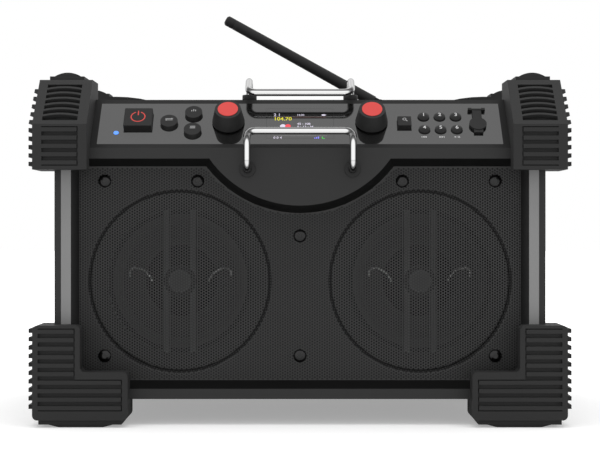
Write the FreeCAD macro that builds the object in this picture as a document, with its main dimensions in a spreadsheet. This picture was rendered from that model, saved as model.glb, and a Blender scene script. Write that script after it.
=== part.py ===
import FreeCAD, Part
import math
import os
import re

import Sketcher

# Jobsite radio, in millimetres. +Z is up and the speakers face -Y. The origin is on the ground,
# in the middle of the width and of the depth.

SIZES = {
    # Whole object
    "depth": 266.0,
    "slope": 47.2,
    "wall": 3.0,
    "running_gap": 0.3,
    "pin_fit": 0.08,
    # Cabinet
    "cabinet_width": 402.0,
    "cabinet_bottom": 21.5,
    "cabinet_top": 269.8,
    "slope_foot": 227.2,
    "bezel_setback": 16.0,
    "housing_seam": 120.0,
    "back_chamfer": 22.0,
    # Speaker recess and baffle
    "recess_width": 375.0,
    "recess_low": 29.7,
    "recess_high": 218.5,
    "recess_depth": 12.0,
    "recess_taper": 6.1,
    "recess_side_taper": 4.9,
    "baffle_thickness": 4.0,
    "apron_radius": 90.7,
    "apron_centre_z": 270.7,
    "trim_width": 8.3,
    "trim_thickness": 2.0,
    # Grille
    "grille_thickness": 1.2,
    "ring_radius": 74.5,
    "ring_groove": 1.5,
    "grille_screw_head": 10.9,
    "grille_screw_dome": 3.2,
    "grille_screw_shank": 4.0,
    "grille_screw_length": 9.0,
    "hex_socket": 4.6,
    "screw_outer_x": 161.4,
    "screw_inner_x": 84.6,
    "screw_top_z": 200.3,
    "screw_bottom_z": 55.8,
    "screw_middle_z": 155.0,
    # Speakers
    "speaker_x": 99.3,
    "speaker_z": 117.6,
    "speaker_opening": 60.0,
    "basket_flange": 68.0,
    "basket_flange_thickness": 2.5,
    "basket_depth": 34.0,
    "basket_neck": 30.0,
    "cone_edge": 50.0,
    "cone_neck": 12.0,
    "cone_depth": 24.0,
    "cone_thickness": 1.4,
    "dust_cap": 17.0,
    "magnet_radius": 36.0,
    "magnet_thickness": 16.0,
    "bridge_spread": 11.0,
    "bridge_width": 4.5,
    "tweeter_radius": 13.0,
    # Sloped control panel
    "panel_margin": 4.4,
    "overlay_width": 333.6,
    "overlay_length": 48.8,
    "overlay_thickness": 1.2,
    "display_width": 56.0,
    "display_length": 36.0,
    "display_u": 24.6,
    "display_module_thickness": 2.2,
    "board_width": 318.0,
    "board_thickness": 1.6,
    # Buttons
    "button_travel": 0.8,
    "button_lip": 1.2,
    "round_button": 14.3,
    "power_x": -134.1,
    "power_u": 24.6,
    "power_width": 23.2,
    "power_length": 21.4,
    "power_height": 7.7,
    "source_x": -108.5,
    "source_u": 22.2,
    "tone_x": -88.6,
    "tone_upper_u": 32.9,
    "tone_lower_u": 12.5,
    "round_height": 5.5,
    "search_x": 86.5,
    "search_u": 21.7,
    "search_width": 11.4,
    "search_height": 6.0,
    "preset_diameter": 9.4,
    "preset_height": 3.2,
    "preset_dome": 7.5,
    "preset_x": 103.0,
    "preset_pitch": 13.4,
    "preset_upper_u": 31.5,
    "preset_lower_u": 16.2,
    "led_x": -152.0,
    "led_u": 13.2,
    "led_diameter": 4.3,
    # Knobs
    "knob_x": 59.5,
    "knob_u": 25.5,
    "knob_base": 27.0,
    "knob_top": 21.6,
    "knob_height": 15.3,
    "knob_gap": 1.5,
    "knob_cap": 16.7,
    "knob_cap_thickness": 0.8,
    "knob_shaft": 6.0,
    "knob_shaft_depth": 12.0,
    "encoder_width": 14.0,
    # Auxiliary socket and its rubber cover
    "aux_x": 147.7,
    "aux_u": 22.1,
    "aux_cover": 14.3,
    "aux_cover_thickness": 2.4,
    "aux_strap_width": 7.6,
    "aux_tab_end": 12.0,
    "aux_hinge_u": 39.6,
    "aux_knuckle": 2.4,
    "aux_pin": 1.2,
    "aux_barrel": 8.0,
    "aux_bore": 3.6,
    "aux_length": 15.0,
    # Roll bars
    "bar_diameter": 6.0,
    "bar_span": 86.2,
    "bar_bend": 7.0,
    "front_bar_foot_z": 209.7,
    "front_bar_reach": 12.8,
    "front_bar_knee_z": 232.5,
    "front_bar_top_z": 241.0,
    "front_bar_top_setback": 13.0,
    "front_ring": 13.3,
    "rear_bar_foot_setback": 69.0,
    "rear_bar_knee_z": 291.3,
    "rear_bar_top_setback": 42.4,
    "rear_bar_top_z": 274.8,
    "rear_collar": 12.3,
    "rear_collar_height": 5.2,
    "bar_seat": 9.0,
    # Antenna
    "antenna_x": 75.1,
    "antenna_setback": 200.0,
    "antenna_rise": 7.3,
    "antenna_tilt": 29.0,
    "antenna_base": 10.6,
    "antenna_tip": 9.6,
    "antenna_length": 165.7,
    "antenna_start": 6.8,
    "antenna_blade": 5.0,
    "antenna_tongue": 9.0,
    "antenna_pin": 3.0,
    "antenna_ear": 3.2,
    "antenna_disc": 20.0,
    "antenna_disc_thickness": 1.6,
    "antenna_stem": 6.0,
    "antenna_stem_length": 9.0,
    "antenna_bush": 14.0,
    "tip_groove_from_end": 9.0,
    # Corner guards
    "guard_wall": 15.5,
    "guard_inner": 345.0,
    "guard_fillet": 4.0,
    "rib_height": 4.5,
    "rib_width": 3.4,
    "rib_pitch": 6.87,
    "rib_setback": 9.0,
    "upper_guard_bottom": 208.9,
    "upper_guard_slope_foot": 245.7,
    "upper_guard_top": 284.8,
    "upper_guard_length": 69.0,
    "upper_guard_wing": 43.0,
    "upper_first_rib": 275.6,
    "slot_left": 180.5,
    "slot_right": 209.0,
    "slot_depth": 2.6,
    "bar_end_gap": 0.8,
    "arch_slot_depth": 4.5,
    "arch_window_low": 4.4,
    "arch_window_high": 47.5,
    "arch_first_u": 12.3,
    "arch_pitch": 6.4,
    "arch_rise": 2.2,
    "arch_bar": 2.2,
    "slope_bars": 6,
    "front_bars": 5,
    "front_first_bar": 241.3,
    "front_bar_pitch": 6.7,
    "side_ribs": 10,
    "plate_thickness": 3.2,
    "plate_left": 180.0,
    "plate_right": 208.6,
    "hump_left": 182.7,
    "hump_right": 205.0,
    "hump_rise": 3.3,
    "lower_guard_bottom": 6.0,
    "lower_guard_top": 82.7,
    "lower_guard_wing": 42.0,
    "lower_guard_inner": 355.8,
    "lower_arm_inner": 278.6,
    "lower_arm_top": 45.0,
    "lower_arm_depth": 36.0,
    "lower_first_rib": 77.8,
    "lower_short_bars": 6,
    "lower_long_bars": 4,
    "foot_left": 144.6,
    "foot_right": 212.0,
    "foot_plate": 3.7,
    "foot_hump_left": 151.0,
    "foot_hump_right": 204.6,
    "foot_hump_rise": 2.3,
    "foot_flat": 36.0,
    "rear_arm_inner": 280.0,
    "rear_arm_low": 240.0,
    "rear_arm_drop": 4.0,
    # Back of the radio
    "bay_width": 124.0,
    "bay_low": 72.0,
    "bay_high": 172.0,
    "bay_depth": 96.0,
    "bay_wall": 2.5,
    "door_gap": 0.5,
    "door_grip_width": 31.0,
    "hinge_barrel": 6.4,
    "hinge_pin": 3.0,
    "hinge_length": 60.0,
    "hinge_ear": 8.0,
    "inlet_x": 120.0,
    "inlet_z": 60.0,
    "inlet_width": 22.0,
    "inlet_height": 14.0,
    "inlet_depth": 16.0,
    "inlet_wall": 2.0,
    "inlet_flange": 3.0,
    "inlet_pin": 2.4,
    "inlet_pin_spread": 13.0,
    "supply_x": -150.0,
    "supply_width": 70.0,
    "supply_depth": 60.0,
    "supply_height": 42.0,
    "main_board_width": 110.0,
    "main_board_depth": 80.0,
    "rear_screw_head": 8.0,
    "rear_screw_height": 2.4,
    "rear_screw_shank": 4.0,
    "rear_screw_length": 10.0,
    "rear_screw_x": 184.0,
    "rear_screw_low": 96.0,
    "rear_screw_middle": 146.0,
    "rear_screw_high": 196.0,
}

# Places that several pieces share, each worked out from the sizes above
PLACES = {
    "front": "(-depth / 2)",
    "bezel": "(-depth / 2 + bezel_setback)",
    "grille_face": "(bezel + recess_depth)",
    "baffle": "(grille_face + grille_thickness)",
    "baffle_back": "(baffle + baffle_thickness)",
    "cabinet_back": "(depth / 2 - bezel_setback)",
    "seam": "(-depth / 2 + housing_seam)",
    "side": "(cabinet_width / 2)",
    "panel_y": "(bezel + panel_margin * cos(slope))",
    "panel_z": "(slope_foot + panel_margin * sin(slope))",
    "board_top": "(-wall - running_gap - button_lip - button_travel - running_gap)",
    "cone_front": "(baffle_back + basket_flange_thickness)",
    "magnet_front": "(baffle_back + basket_flange_thickness + basket_depth)",
    "antenna_y": "(-depth / 2 + antenna_setback)",
    "antenna_axis_z": "(cabinet_top + antenna_rise)",
    "guard_side": "(side + guard_wall)",
    "door_hinge_y": "(cabinet_back + hinge_barrel / 2 + running_gap)",
    "door_hinge_z": "(bay_low - hinge_barrel / 2 - running_gap)",
}

WORD = re.compile(r"[a-z][a-z_0-9]*")
X, Y, Z = FreeCAD.Vector(1, 0, 0), FreeCAD.Vector(0, 1, 0), FreeCAD.Vector(0, 0, 1)
TURNS = {
    "x": FreeCAD.Rotation(Y, 90),
    "y": FreeCAD.Rotation(X, -90),
    "-y": FreeCAD.Rotation(X, 90),
    "z": FreeCAD.Rotation(),
    "-z": FreeCAD.Rotation(X, 180),
}
AXIS_NUMBER = {"YZ_Plane": 0, "XZ_Plane": 1, "XY_Plane": 2}

doc = FreeCAD.newDocument("jobsite_radio")
sheet = doc.addObject("Spreadsheet::Sheet", "Sizes")
nodes = []


def fill_sheet():
    for row, (name, size) in enumerate(SIZES.items(), start=1):
        sheet.set(f"A{row}", name.replace("_", " "))
        sheet.set(f"B{row}", str(size))
        sheet.setAlias(f"B{row}", name)
    doc.recompute()


def formula(text):
    """The text with places written out and sizes pointed at the sheet."""
    while any(word in PLACES for word in WORD.findall(text)):
        text = WORD.sub(lambda m: PLACES.get(m.group(), m.group()), text)
    return WORD.sub(lambda m: "Sizes." + m.group() if m.group() in SIZES else m.group(), text)


def number(text):
    """What a formula comes to."""
    probe = doc.getObject("Probe") or doc.addObject("Part::Vertex", "Probe")
    probe.setExpression("X", formula(text))
    probe.recompute()
    return float(probe.X)


def count(name):
    return round(float(sheet.get(name)))


def move(obj, x="0", y="0", z="0"):
    for axis, text in zip("xyz", (x, y, z)):
        obj.setExpression("Placement.Base." + axis, formula(text))
    return obj


def on_panel(obj, x, u, lift):
    """Lays the object on the sloped panel: u runs up the slope and lift stands off it."""
    obj.Placement = FreeCAD.Placement(FreeCAD.Vector(), FreeCAD.Rotation(X, 1))
    obj.setExpression("Placement.Rotation.Angle", formula("slope"))
    y = f"panel_y + ({u}) * cos(slope) - ({lift}) * sin(slope)"
    z = f"panel_z + ({u}) * sin(slope) + ({lift}) * cos(slope)"
    return move(obj, x, y, z)


def block(name, x, y, z):
    """A box between the low and the high end given for each axis."""
    obj = doc.addObject("Part::Box", name)
    for side, (low, high) in zip(("Length", "Width", "Height"), (x, y, z)):
        obj.setExpression(side, formula(f"({high}) - ({low})"))
    return move(obj, x[0], y[0], z[0])


def panel_block(name, x, u, lift):
    obj = block(name, x, u, lift)
    return on_panel(obj, x[0], u[0], lift[0])


def rod(name, radius, length, x, y, z, along):
    obj = doc.addObject("Part::Cylinder", name)
    obj.setExpression("Radius", formula(radius))
    obj.setExpression("Height", formula(length))
    obj.Placement = FreeCAD.Placement(FreeCAD.Vector(), TURNS[along])
    return move(obj, x, y, z)


def panel_rod(name, radius, x, u, low, high):
    obj = doc.addObject("Part::Cylinder", name)
    obj.setExpression("Radius", formula(radius))
    obj.setExpression("Height", formula(f"({high}) - ({low})"))
    return on_panel(obj, x, u, low)


def taper(name, start, end, length, x, y, z, along):
    obj = doc.addObject("Part::Cone", name)
    obj.setExpression("Radius1", formula(start))
    obj.setExpression("Radius2", formula(end))
    obj.setExpression("Height", formula(length))
    obj.Placement = FreeCAD.Placement(FreeCAD.Vector(), TURNS[along])
    return move(obj, x, y, z)


def ball(name, radius, x, y, z):
    obj = doc.addObject("Part::Sphere", name)
    obj.setExpression("Radius", formula(radius))
    return move(obj, x, y, z)


def join(name, *pieces):
    obj = doc.addObject("Part::MultiFuse", name)
    obj.Shapes = list(pieces)
    obj.Refine = True
    return obj


def cut(name, base, *tools):
    obj = doc.addObject("Part::Cut", name)
    obj.Base = base
    obj.Tool = tools[0] if len(tools) == 1 else join(name + "_tools", *tools)
    obj.Refine = True
    return obj


def common(name, first, second):
    obj = doc.addObject("Part::MultiCommon", name)
    obj.Shapes = [first, second]
    return obj


def group(name, pieces):
    obj = doc.addObject("Part::Compound", name)
    obj.Links = list(pieces)
    return obj


def mirror(name, source, normal):
    obj = doc.addObject("Part::Mirroring", name)
    obj.Source = source
    obj.Base = FreeCAD.Vector()
    obj.Normal = normal
    return obj


def node(name, obj):
    """Makes the object the sub-part of that name."""
    obj.Label = name
    nodes.append(obj)
    return obj


def outline(body, plane, points):
    """A closed outline in one of the body's own planes, each corner bound to two formulas."""
    sketch = body.newObject("Sketcher::SketchObject", body.Name + "_outline")
    support = next(o for o in body.Origin.OriginFeatures if o.Role == plane)
    sketch.AttachmentSupport = [(support, "")]
    sketch.MapMode = "FlatFace"
    corners = [(number(x), number(y)) for x, y in points]
    for start, end in zip(corners, corners[1:] + corners[:1]):
        sketch.addGeometry(Part.LineSegment(FreeCAD.Vector(*start, 0), FreeCAD.Vector(*end, 0)), False)
    for i in range(len(points)):
        sketch.addConstraint(Sketcher.Constraint("Coincident", i, 2, (i + 1) % len(points), 1))
    for i, texts in enumerate(points):
        for kind, text, now in zip(("DistanceX", "DistanceY"), texts, corners[i]):
            n = sketch.addConstraint(Sketcher.Constraint(kind, -1, 1, i, 1, now))
            sketch.setExpression(f"Constraints[{n}]", formula(text))
    return sketch


def edges_along(shape, axis):
    names = []
    for i, edge in enumerate(shape.Edges, start=1):
        if abs(edge.tangentAt(edge.FirstParameter)[axis]) > 0.999:
            names.append(f"Edge{i}")
    return names


def prism(name, plane, points, low, high, fillet=None):
    """The outline pushed from low to high, with the edges that run that way rounded."""
    body = doc.addObject("PartDesign::Body", name)
    sketch = outline(body, plane, points)
    pad = body.newObject("PartDesign::Pad", name + "_pad")
    pad.Profile = sketch
    pad.Reversed = plane == "XZ_Plane"
    pad.setExpression("Length", formula(f"({high}) - ({low})"))
    axis = AXIS_NUMBER[plane]
    places = ["0", "0", "0"]
    places[axis] = low
    move(body, *places)
    if fillet:
        doc.recompute()
        rounding = body.newObject("PartDesign::Fillet", name + "_fillet")
        rounding.Base = (pad, edges_along(pad.Shape, axis))
        rounding.setExpression("Radius", formula(fillet))
    return body


def hump(name, left, right, low, rise, y0, y1):
    """A low arch across the width: a slice of a cylinder that lies along Y."""
    radius = f"((({right}) - ({left})) ^ 2 / 4 + ({rise}) ^ 2) / 2 / ({rise})"
    middle = f"(({left}) + ({right})) / 2"
    arch = rod(name + "_arch", radius, f"({y1}) - ({y0})", middle, y0, f"({low}) + ({rise}) - {radius}", "y")
    return common(name, arch, block(name + "_slice", (left, right), (y0, y1), (low, f"({low}) + ({rise})")))


def slope_height(y):
    """The height of the cabinet's sloped face at that place."""
    return f"(slope_foot + (({y}) - bezel) * tan(slope))"


def cabinet_profile():
    return [
        ("bezel", "cabinet_bottom"),
        ("cabinet_back", "cabinet_bottom"),
        ("cabinet_back", "cabinet_top - back_chamfer"),
        ("cabinet_back - back_chamfer", "cabinet_top"),
        ("bezel + (cabinet_top - slope_foot) / tan(slope)", "cabinet_top"),
        ("bezel", "slope_foot"),
    ]


def cavity_profile():
    """Inside of the two housings, one wall in from the profile, behind the baffle."""
    front = "bezel + wall"
    shelf = "recess_high + wall"
    corner = "wall * (sqrt(2) - 1)"
    return [
        ("baffle_back", "cabinet_bottom + wall"),
        ("cabinet_back - wall", "cabinet_bottom + wall"),
        ("cabinet_back - wall", f"cabinet_top - back_chamfer - {corner}"),
        (f"cabinet_back - back_chamfer - {corner}", "cabinet_top - wall"),
        ("bezel + (cabinet_top - wall + wall / cos(slope) - slope_foot) / tan(slope)", "cabinet_top - wall"),
        (front, slope_height(front) + " - wall / cos(slope)"),
        (front, shelf),
        ("baffle_back", shelf),
    ]


def recess_tool():
    """The sloped walls round the speakers, with the arc of the apron left standing."""
    wedge = doc.addObject("Part::Wedge", "recess_wedge")
    half = "recess_width / 2"
    bounds = {
        "Xmin": f"-{half}",
        "Xmax": half,
        "Zmin": "recess_low",
        "Zmax": "recess_high",
        "X2min": f"-{half} + recess_side_taper",
        "X2max": f"{half} - recess_side_taper",
        "Z2min": "recess_low + recess_taper",
        "Z2max": "recess_high - recess_taper",
        "Ymin": "bezel",
        "Ymax": "grille_face",
    }
    for key, text in bounds.items():
        wedge.setExpression(key, formula(text))
    seat = grille_blank("grille_seat")
    arc = taper("apron_arc", "apron_radius", "apron_radius + recess_taper", "recess_depth",
                "0", "bezel", "apron_centre_z", "y")
    return join("recess_tool", cut("recess_walls", wedge, arc), seat)


def grille_blank(name):
    """The grille's outline: a rectangle less the arc of the apron."""
    half = "recess_width / 2 - recess_side_taper"
    low, high = "recess_low + recess_taper", "recess_high - recess_taper"
    plate = block(name + "_plate", (f"-({half})", half), ("grille_face", "baffle"), (low, high))
    arc = rod(name + "_arc", "apron_radius + recess_taper", "3 * grille_thickness",
              "0", "grille_face - grille_thickness", "apron_centre_z", "y")
    return cut(name, plate, arc)


def grille_screw_places():
    """Where the grille's eight screws go, from left to right."""
    outer, inner, top = "screw_outer_x", "screw_inner_x", "screw_top_z"
    places = [(sign + x, top) for x in (outer, inner) for sign in ("-", "")]
    places += [(sign + outer, "screw_bottom_z") for sign in ("-", "")]
    return places + [("0", "screw_middle_z"), ("0", "screw_bottom_z")]


def grille_screw(i, x, z):
    radius = "grille_screw_head / 2"
    dome = f"(({radius}) ^ 2 + grille_screw_dome ^ 2) / 2 / grille_screw_dome"
    disc = rod(f"screw_disc_{i}", radius, "grille_screw_dome", x, "grille_face - grille_screw_dome", z, "y")
    cap = ball(f"screw_ball_{i}", dome, x, f"grille_face - grille_screw_dome + {dome}", z)
    shank = rod(f"screw_shank_{i}", "grille_screw_shank / 2", "grille_screw_length", x, "grille_face", z, "y")
    socket = doc.addObject("Part::Prism", f"screw_socket_{i}")
    socket.Polygon = 6
    socket.setExpression("Circumradius", formula("hex_socket / 2"))
    socket.setExpression("Height", formula("grille_screw_dome / 2"))
    socket.Placement = FreeCAD.Placement(FreeCAD.Vector(), TURNS["y"])
    move(socket, x, "grille_face - grille_screw_dome", z)
    return cut(f"screw_{i}", join(f"screw_solid_{i}", common(f"screw_head_{i}", disc, cap), shank), socket)


def control_places():
    """Each push button: its name, its place on the panel, its width and length, and its height."""
    round_size = ("round_button", None, "round_height")
    places = [
        ("power_button", "power_x", "power_u", "power_width", "power_length", "power_height"),
        ("source_button", "source_x", "source_u", *round_size),
        ("tone_button", "tone_x", "tone_upper_u", *round_size),
        ("info_button", "tone_x", "tone_lower_u", *round_size),
        ("search_button", "search_x", "search_u", "search_width", "search_width", "search_height"),
    ]
    for i in range(6):
        x = f"preset_x + {i % 3} * preset_pitch"
        u = "preset_upper_u" if i < 3 else "preset_lower_u"
        places.append((f"preset_button_{i + 1}", x, u, "preset_diameter", None, "preset_height"))
    return places


def button_prism(name, x, u, width, length, grow, low, high):
    """A round or a square-cornered stretch of a button, or of its hole, wider by grow all round."""
    if length is None:
        return panel_rod(name, f"{width} / 2 + {grow}", x, u, low, high)
    half, long_half = f"({width} / 2 + {grow})", f"({length} / 2 + {grow})"
    return panel_block(name, (f"{x} - {half}", f"{x} + {half}"), (f"{u} - {long_half}", f"{u} + {long_half}"),
                       (low, high))


def button(name, x, u, width, length, height):
    """A cap that passes through the panel, with a lip under the wall that keeps it in."""
    under = "-wall - running_gap"
    cap = button_prism(name + "_cap", x, u, width, length, "0", under, height)
    lip = button_prism(name + "_lip", x, u, width, length, "button_lip", f"{under} - button_lip", under)
    if name.startswith("preset"):
        dome = on_panel(ball(name + "_ball", "preset_dome", "0", "0", "0"), x, u, f"{height} - preset_dome")
        cap = common(name + "_domed", cap, dome)
    return node(name, join(name, cap, lip))


def panel_holes(low, high):
    """Tools for every hole through the sloped panel between two depths."""
    holes = []
    for name, x, u, width, length, _ in control_places():
        holes.append(button_prism("hole_" + name, x, u, width, length, "running_gap", low, high))
    for sign in ("-", ""):
        holes.append(panel_rod("hole_knob", "knob_shaft / 2 + running_gap", f"{sign}knob_x", "knob_u", low,
                               high))
    holes.append(panel_rod("hole_led", "led_diameter / 2", "led_x", "led_u", low, high))
    holes.append(panel_rod("hole_aux", "aux_barrel / 2", "aux_x", "aux_u", low, high))
    holes.append(display_block("hole_display", "0", low, high))
    return holes


def display_block(name, grow, low, high):
    half, long_half = f"(display_width / 2 + {grow})", f"(display_length / 2 + {grow})"
    return panel_block(name, (f"-{half}", half), (f"display_u - {long_half}", f"display_u + {long_half}"),
                       (low, high))


def overlay_block(name, low, high):
    return panel_block(name, ("-overlay_width / 2", "overlay_width / 2"), ("0", "overlay_length"), (low,
                                                                                                    high))


def front_housing():
    """Bezel, baffle, apron and sloped console in one moulding, open at the back."""
    cabinet = prism("cabinet", "YZ_Plane", cabinet_profile(), "-side", "side")
    half = block("front_half", ("-side", "side"), ("bezel", "seam"), ("cabinet_bottom", "cabinet_top"))
    cavity = prism("cavity", "YZ_Plane", cavity_profile(), "-side + wall", "side - wall")
    tools = [cavity, recess_tool(), overlay_block("overlay_pocket", "-overlay_thickness", "wall")]
    tools += panel_holes("-2 * wall", "wall")
    for sign in ("-", ""):
        tools.append(speaker_rod("speaker_hole", sign, "speaker_opening", "grille_face",
                                 "baffle_back + wall"))
        tools.append(rod("bar_ring_hole", "front_ring / 2", "wall", f"{sign}bar_span / 2",
                         "bezel", "front_bar_foot_z", "y"))
        tools.append(rod("bar_foot_hole", "bar_diameter / 2", "bar_seat", f"{sign}bar_span / 2",
                         "bezel", "front_bar_foot_z", "y"))
        tools.append(rod("bar_deck_hole", "bar_diameter / 2", "2 * wall", f"{sign}bar_span / 2",
                         "front + rear_bar_foot_setback", "cabinet_top - 1.5 * wall", "z"))
        tools.append(trim(sign))
    for x, z in grille_screw_places():
        tools.append(rod("grille_screw_hole", "grille_screw_shank / 2", "grille_screw_length", x,
                         "grille_face", z, "y"))
    node("front_housing", cut("front_housing", common("front_solid", cabinet, half), *tools))
    return cabinet, cavity


def trim(sign):
    """A light strip let into the bezel beside the speakers."""
    edge = "recess_width / 2"
    ends = (edge, f"{edge} + trim_width") if not sign else (f"-{edge} - trim_width", f"-{edge}")
    return block("trim_strip", ends, ("bezel", "bezel + trim_thickness"), ("recess_low", "recess_high"))


def speaker_rod(name, sign, radius, y0, y1):
    return rod(name, radius, f"({y1}) - ({y0})", f"{sign}speaker_x", y0, "speaker_z", "y")


def speaker_taper(name, sign, start, end, y0, y1):
    return taper(name, start, end, f"({y1}) - ({y0})", f"{sign}speaker_x", y0, "speaker_z", "y")


def speaker_grille():
    """The perforated plate, with a ring pressed in round each speaker."""
    plate = grille_blank("grille_plate")
    tools = []
    for sign in ("-", ""):
        ring = doc.addObject("Part::Torus", "ring_groove")
        ring.setExpression("Radius1", formula("ring_radius"))
        ring.setExpression("Radius2", formula("ring_groove"))
        ring.Placement = FreeCAD.Placement(FreeCAD.Vector(), TURNS["y"])
        tools.append(move(ring, f"{sign}speaker_x", "grille_face - ring_groove / 2", "speaker_z"))
    for x, z in grille_screw_places():
        tools.append(rod("grille_hole", "grille_screw_shank / 2", "2 * grille_thickness", x,
                         "grille_face - grille_thickness / 2", z, "y"))
    node("speaker_grille", cut("speaker_grille", plate, *tools))
    node("grille_screws", group("grille_screws", [grille_screw(i, *at) for i,
                                                  at in enumerate(grille_screw_places())]))


def tweeter_bridge(sign):
    """Two upright bars across the opening that carry the tweeter in the middle."""
    y0, y1 = "baffle + running_gap", "baffle_back"
    middle = f"{sign}speaker_x"
    bars = []
    for side in ("-", "+"):
        x = f"{middle} {side} bridge_spread"
        bars.append(block("bridge_bar", (f"{x} - bridge_width / 2", f"{x} + bridge_width / 2"), (y0, y1),
                          ("speaker_z - speaker_opening", "speaker_z + speaker_opening")))
    rim = speaker_rod("bridge_rim", sign, "speaker_opening", y0, y1)
    return join("tweeter_bridge", common("bridge_bars", join("bridge_pair", *bars), rim),
                speaker_rod("tweeter", sign, "tweeter_radius", y0, y1))


def speaker_basket(sign):
    """A pressed basket: a flange on the baffle's back, a tapered wall with windows and a floor."""
    flange = speaker_rod("flange", sign, "basket_flange", "baffle_back", "cone_front")
    outside = speaker_taper("basket_outside", sign, "speaker_opening + wall", "basket_neck + wall",
                            "cone_front", "magnet_front")
    inside = speaker_taper("basket_inside", sign, "speaker_opening + running_gap", "basket_neck",
                           "cone_front", "magnet_front - wall")
    mouth = speaker_rod("basket_mouth", sign, "speaker_opening + running_gap", "baffle_back", "cone_front")
    neck = speaker_rod("basket_bore", sign, "cone_neck + 2 * cone_thickness", "magnet_front - 2 * wall",
                       "magnet_front + wall")
    y = ("cone_front + wall", "magnet_front - 2 * wall")
    reach = "basket_flange"
    upright = block("basket_window", (f"{sign}speaker_x - cone_neck", f"{sign}speaker_x + cone_neck"), y,
                    (f"speaker_z - {reach}", f"speaker_z + {reach}"))
    across = block("basket_window", (f"{sign}speaker_x - {reach}", f"{sign}speaker_x + {reach}"), y,
                   ("speaker_z - cone_neck", "speaker_z + cone_neck"))
    return cut("basket", join("basket_solid", flange, outside), inside, mouth, neck, upright, across)


def speaker_magnet(sign):
    """The ring magnet with the gap that the coil moves in."""
    body = speaker_rod("magnet_ring", sign, "magnet_radius", "magnet_front",
                       "magnet_front + magnet_thickness")
    gap = speaker_rod("magnet_gap", sign, "cone_neck + 2 * cone_thickness", "magnet_front",
                      "magnet_front + magnet_thickness - wall")
    pole = speaker_rod("magnet_pole", sign, "cone_neck - 2 * cone_thickness", "magnet_front",
                       "magnet_front + magnet_thickness")
    return join("magnet", cut("magnet_shell", body, gap), pole)


def speaker_surround(sign):
    """A rubber half roll between the cone's edge and the basket's mouth."""
    ring = speaker_rod("surround_ring", sign, "speaker_opening", "baffle_back", "cone_front")
    hole = speaker_rod("surround_hole", sign, "cone_edge + running_gap", "baffle_back - wall",
                       "cone_front + wall")
    return cut("surround", ring, hole)


def woofer_cone(name, sign):
    """Paper cone, its dust cap and the coil's tube, which slides in the magnet."""
    y0, y1 = "cone_front", "cone_front + cone_depth"
    step = "cone_thickness"
    rim = speaker_rod(name + "_rim", sign, "cone_edge", "cone_front - cone_thickness", y0)
    rim_hole = speaker_rod(name + "_mouth", sign, "cone_edge - 2 * cone_thickness",
                           "cone_front - 2 * cone_thickness", y0)
    outside = speaker_taper(name + "_outside", sign, "cone_edge", f"cone_neck + {step}", y0, y1)
    inside = speaker_taper(name + "_inside", sign, f"cone_edge - 2 * {step}", "cone_neck", y0, y1)
    coil = speaker_rod(name + "_coil", sign, f"cone_neck + {step}", y1, "magnet_front + magnet_thickness / 2")
    bore = speaker_rod(name + "_bore", sign, "cone_neck", f"{y1} - {step}", "magnet_front + magnet_thickness")
    cap_plane = f"{y1} - (dust_cap - cone_neck)"
    cap = speaker_taper(name + "_cap", sign, "cone_neck / 2", "dust_cap", f"{cap_plane} - dust_cap / 3",
                        cap_plane)
    plug = speaker_rod(name + "_plug", sign, "cone_neck", cap_plane, f"{y1} + wall")
    shell = cut(name + "_shell", join(name + "_solid", rim, outside, coil), rim_hole, inside, bore)
    return node(name, join(name, shell, cap, plug))


def speakers():
    signs = ("-", "")
    node("speaker_baskets", group("speaker_baskets", [speaker_basket(s) for s in signs]))
    node("speaker_magnets", group("speaker_magnets", [speaker_magnet(s) for s in signs]))
    node("speaker_surrounds", group("speaker_surrounds", [speaker_surround(s) for s in signs]))
    node("tweeter_bridges", group("tweeter_bridges", [tweeter_bridge(s) for s in signs]))
    for name, sign in zip(("woofer_cone_left", "woofer_cone_right"), signs):
        woofer_cone(name, sign)


def panel_fittings():
    """The glossy overlay, the display behind it, the lamp and the board under the panel."""
    node("panel_overlay", cut("panel_overlay", overlay_block("overlay_plate", "-overlay_thickness", "0"),
                              *panel_holes("-2 * wall", "wall")))
    node("display_lens", display_block("display_lens", "-running_gap / 3", "-wall", "0"))
    node("display_module", display_block("display_module", "wall", "-wall - display_module_thickness",
                                         "-wall"))
    low, high = "board_top - board_thickness", "board_top"
    board = panel_block("board", ("-board_width / 2", "board_width / 2"), ("0", "overlay_length - wall"),
                        (low, high))
    holes = [panel_rod("board_aux_hole", "aux_barrel / 2", "aux_x", "aux_u", f"{low} - wall",
                       f"{high} + wall")]
    for sign in ("-", ""):
        holes.append(panel_rod("board_knob_hole", "knob_shaft / 2 + running_gap", f"{sign}knob_x", "knob_u",
                               f"{low} - wall", f"{high} + wall"))
    node("control_board", cut("control_board", board, *holes))
    node("status_led", panel_rod("status_led", "led_diameter / 2", "led_x", "led_u", "-wall", "running_gap"))
    node("encoder_bodies", group("encoder_bodies", [encoder(sign) for sign in ("-", "")]))


def encoder(sign):
    """A rotary encoder under the board that a knob's shaft turns in."""
    top = "board_top - board_thickness"
    half = "encoder_width / 2"
    x, low = f"{sign}knob_x", "-knob_shaft_depth - wall"
    body = panel_block("encoder_box", (f"{x} - {half}", f"{x} + {half}"), (f"knob_u - {half}",
                                                                           f"knob_u + {half}"),
                       (low, top))
    bore = panel_rod("encoder_bore", "knob_shaft / 2 + pin_fit", x, "knob_u",
                     "-knob_shaft_depth - running_gap",
                     f"{top} + wall")
    return cut("encoder", body, bore)


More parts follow.
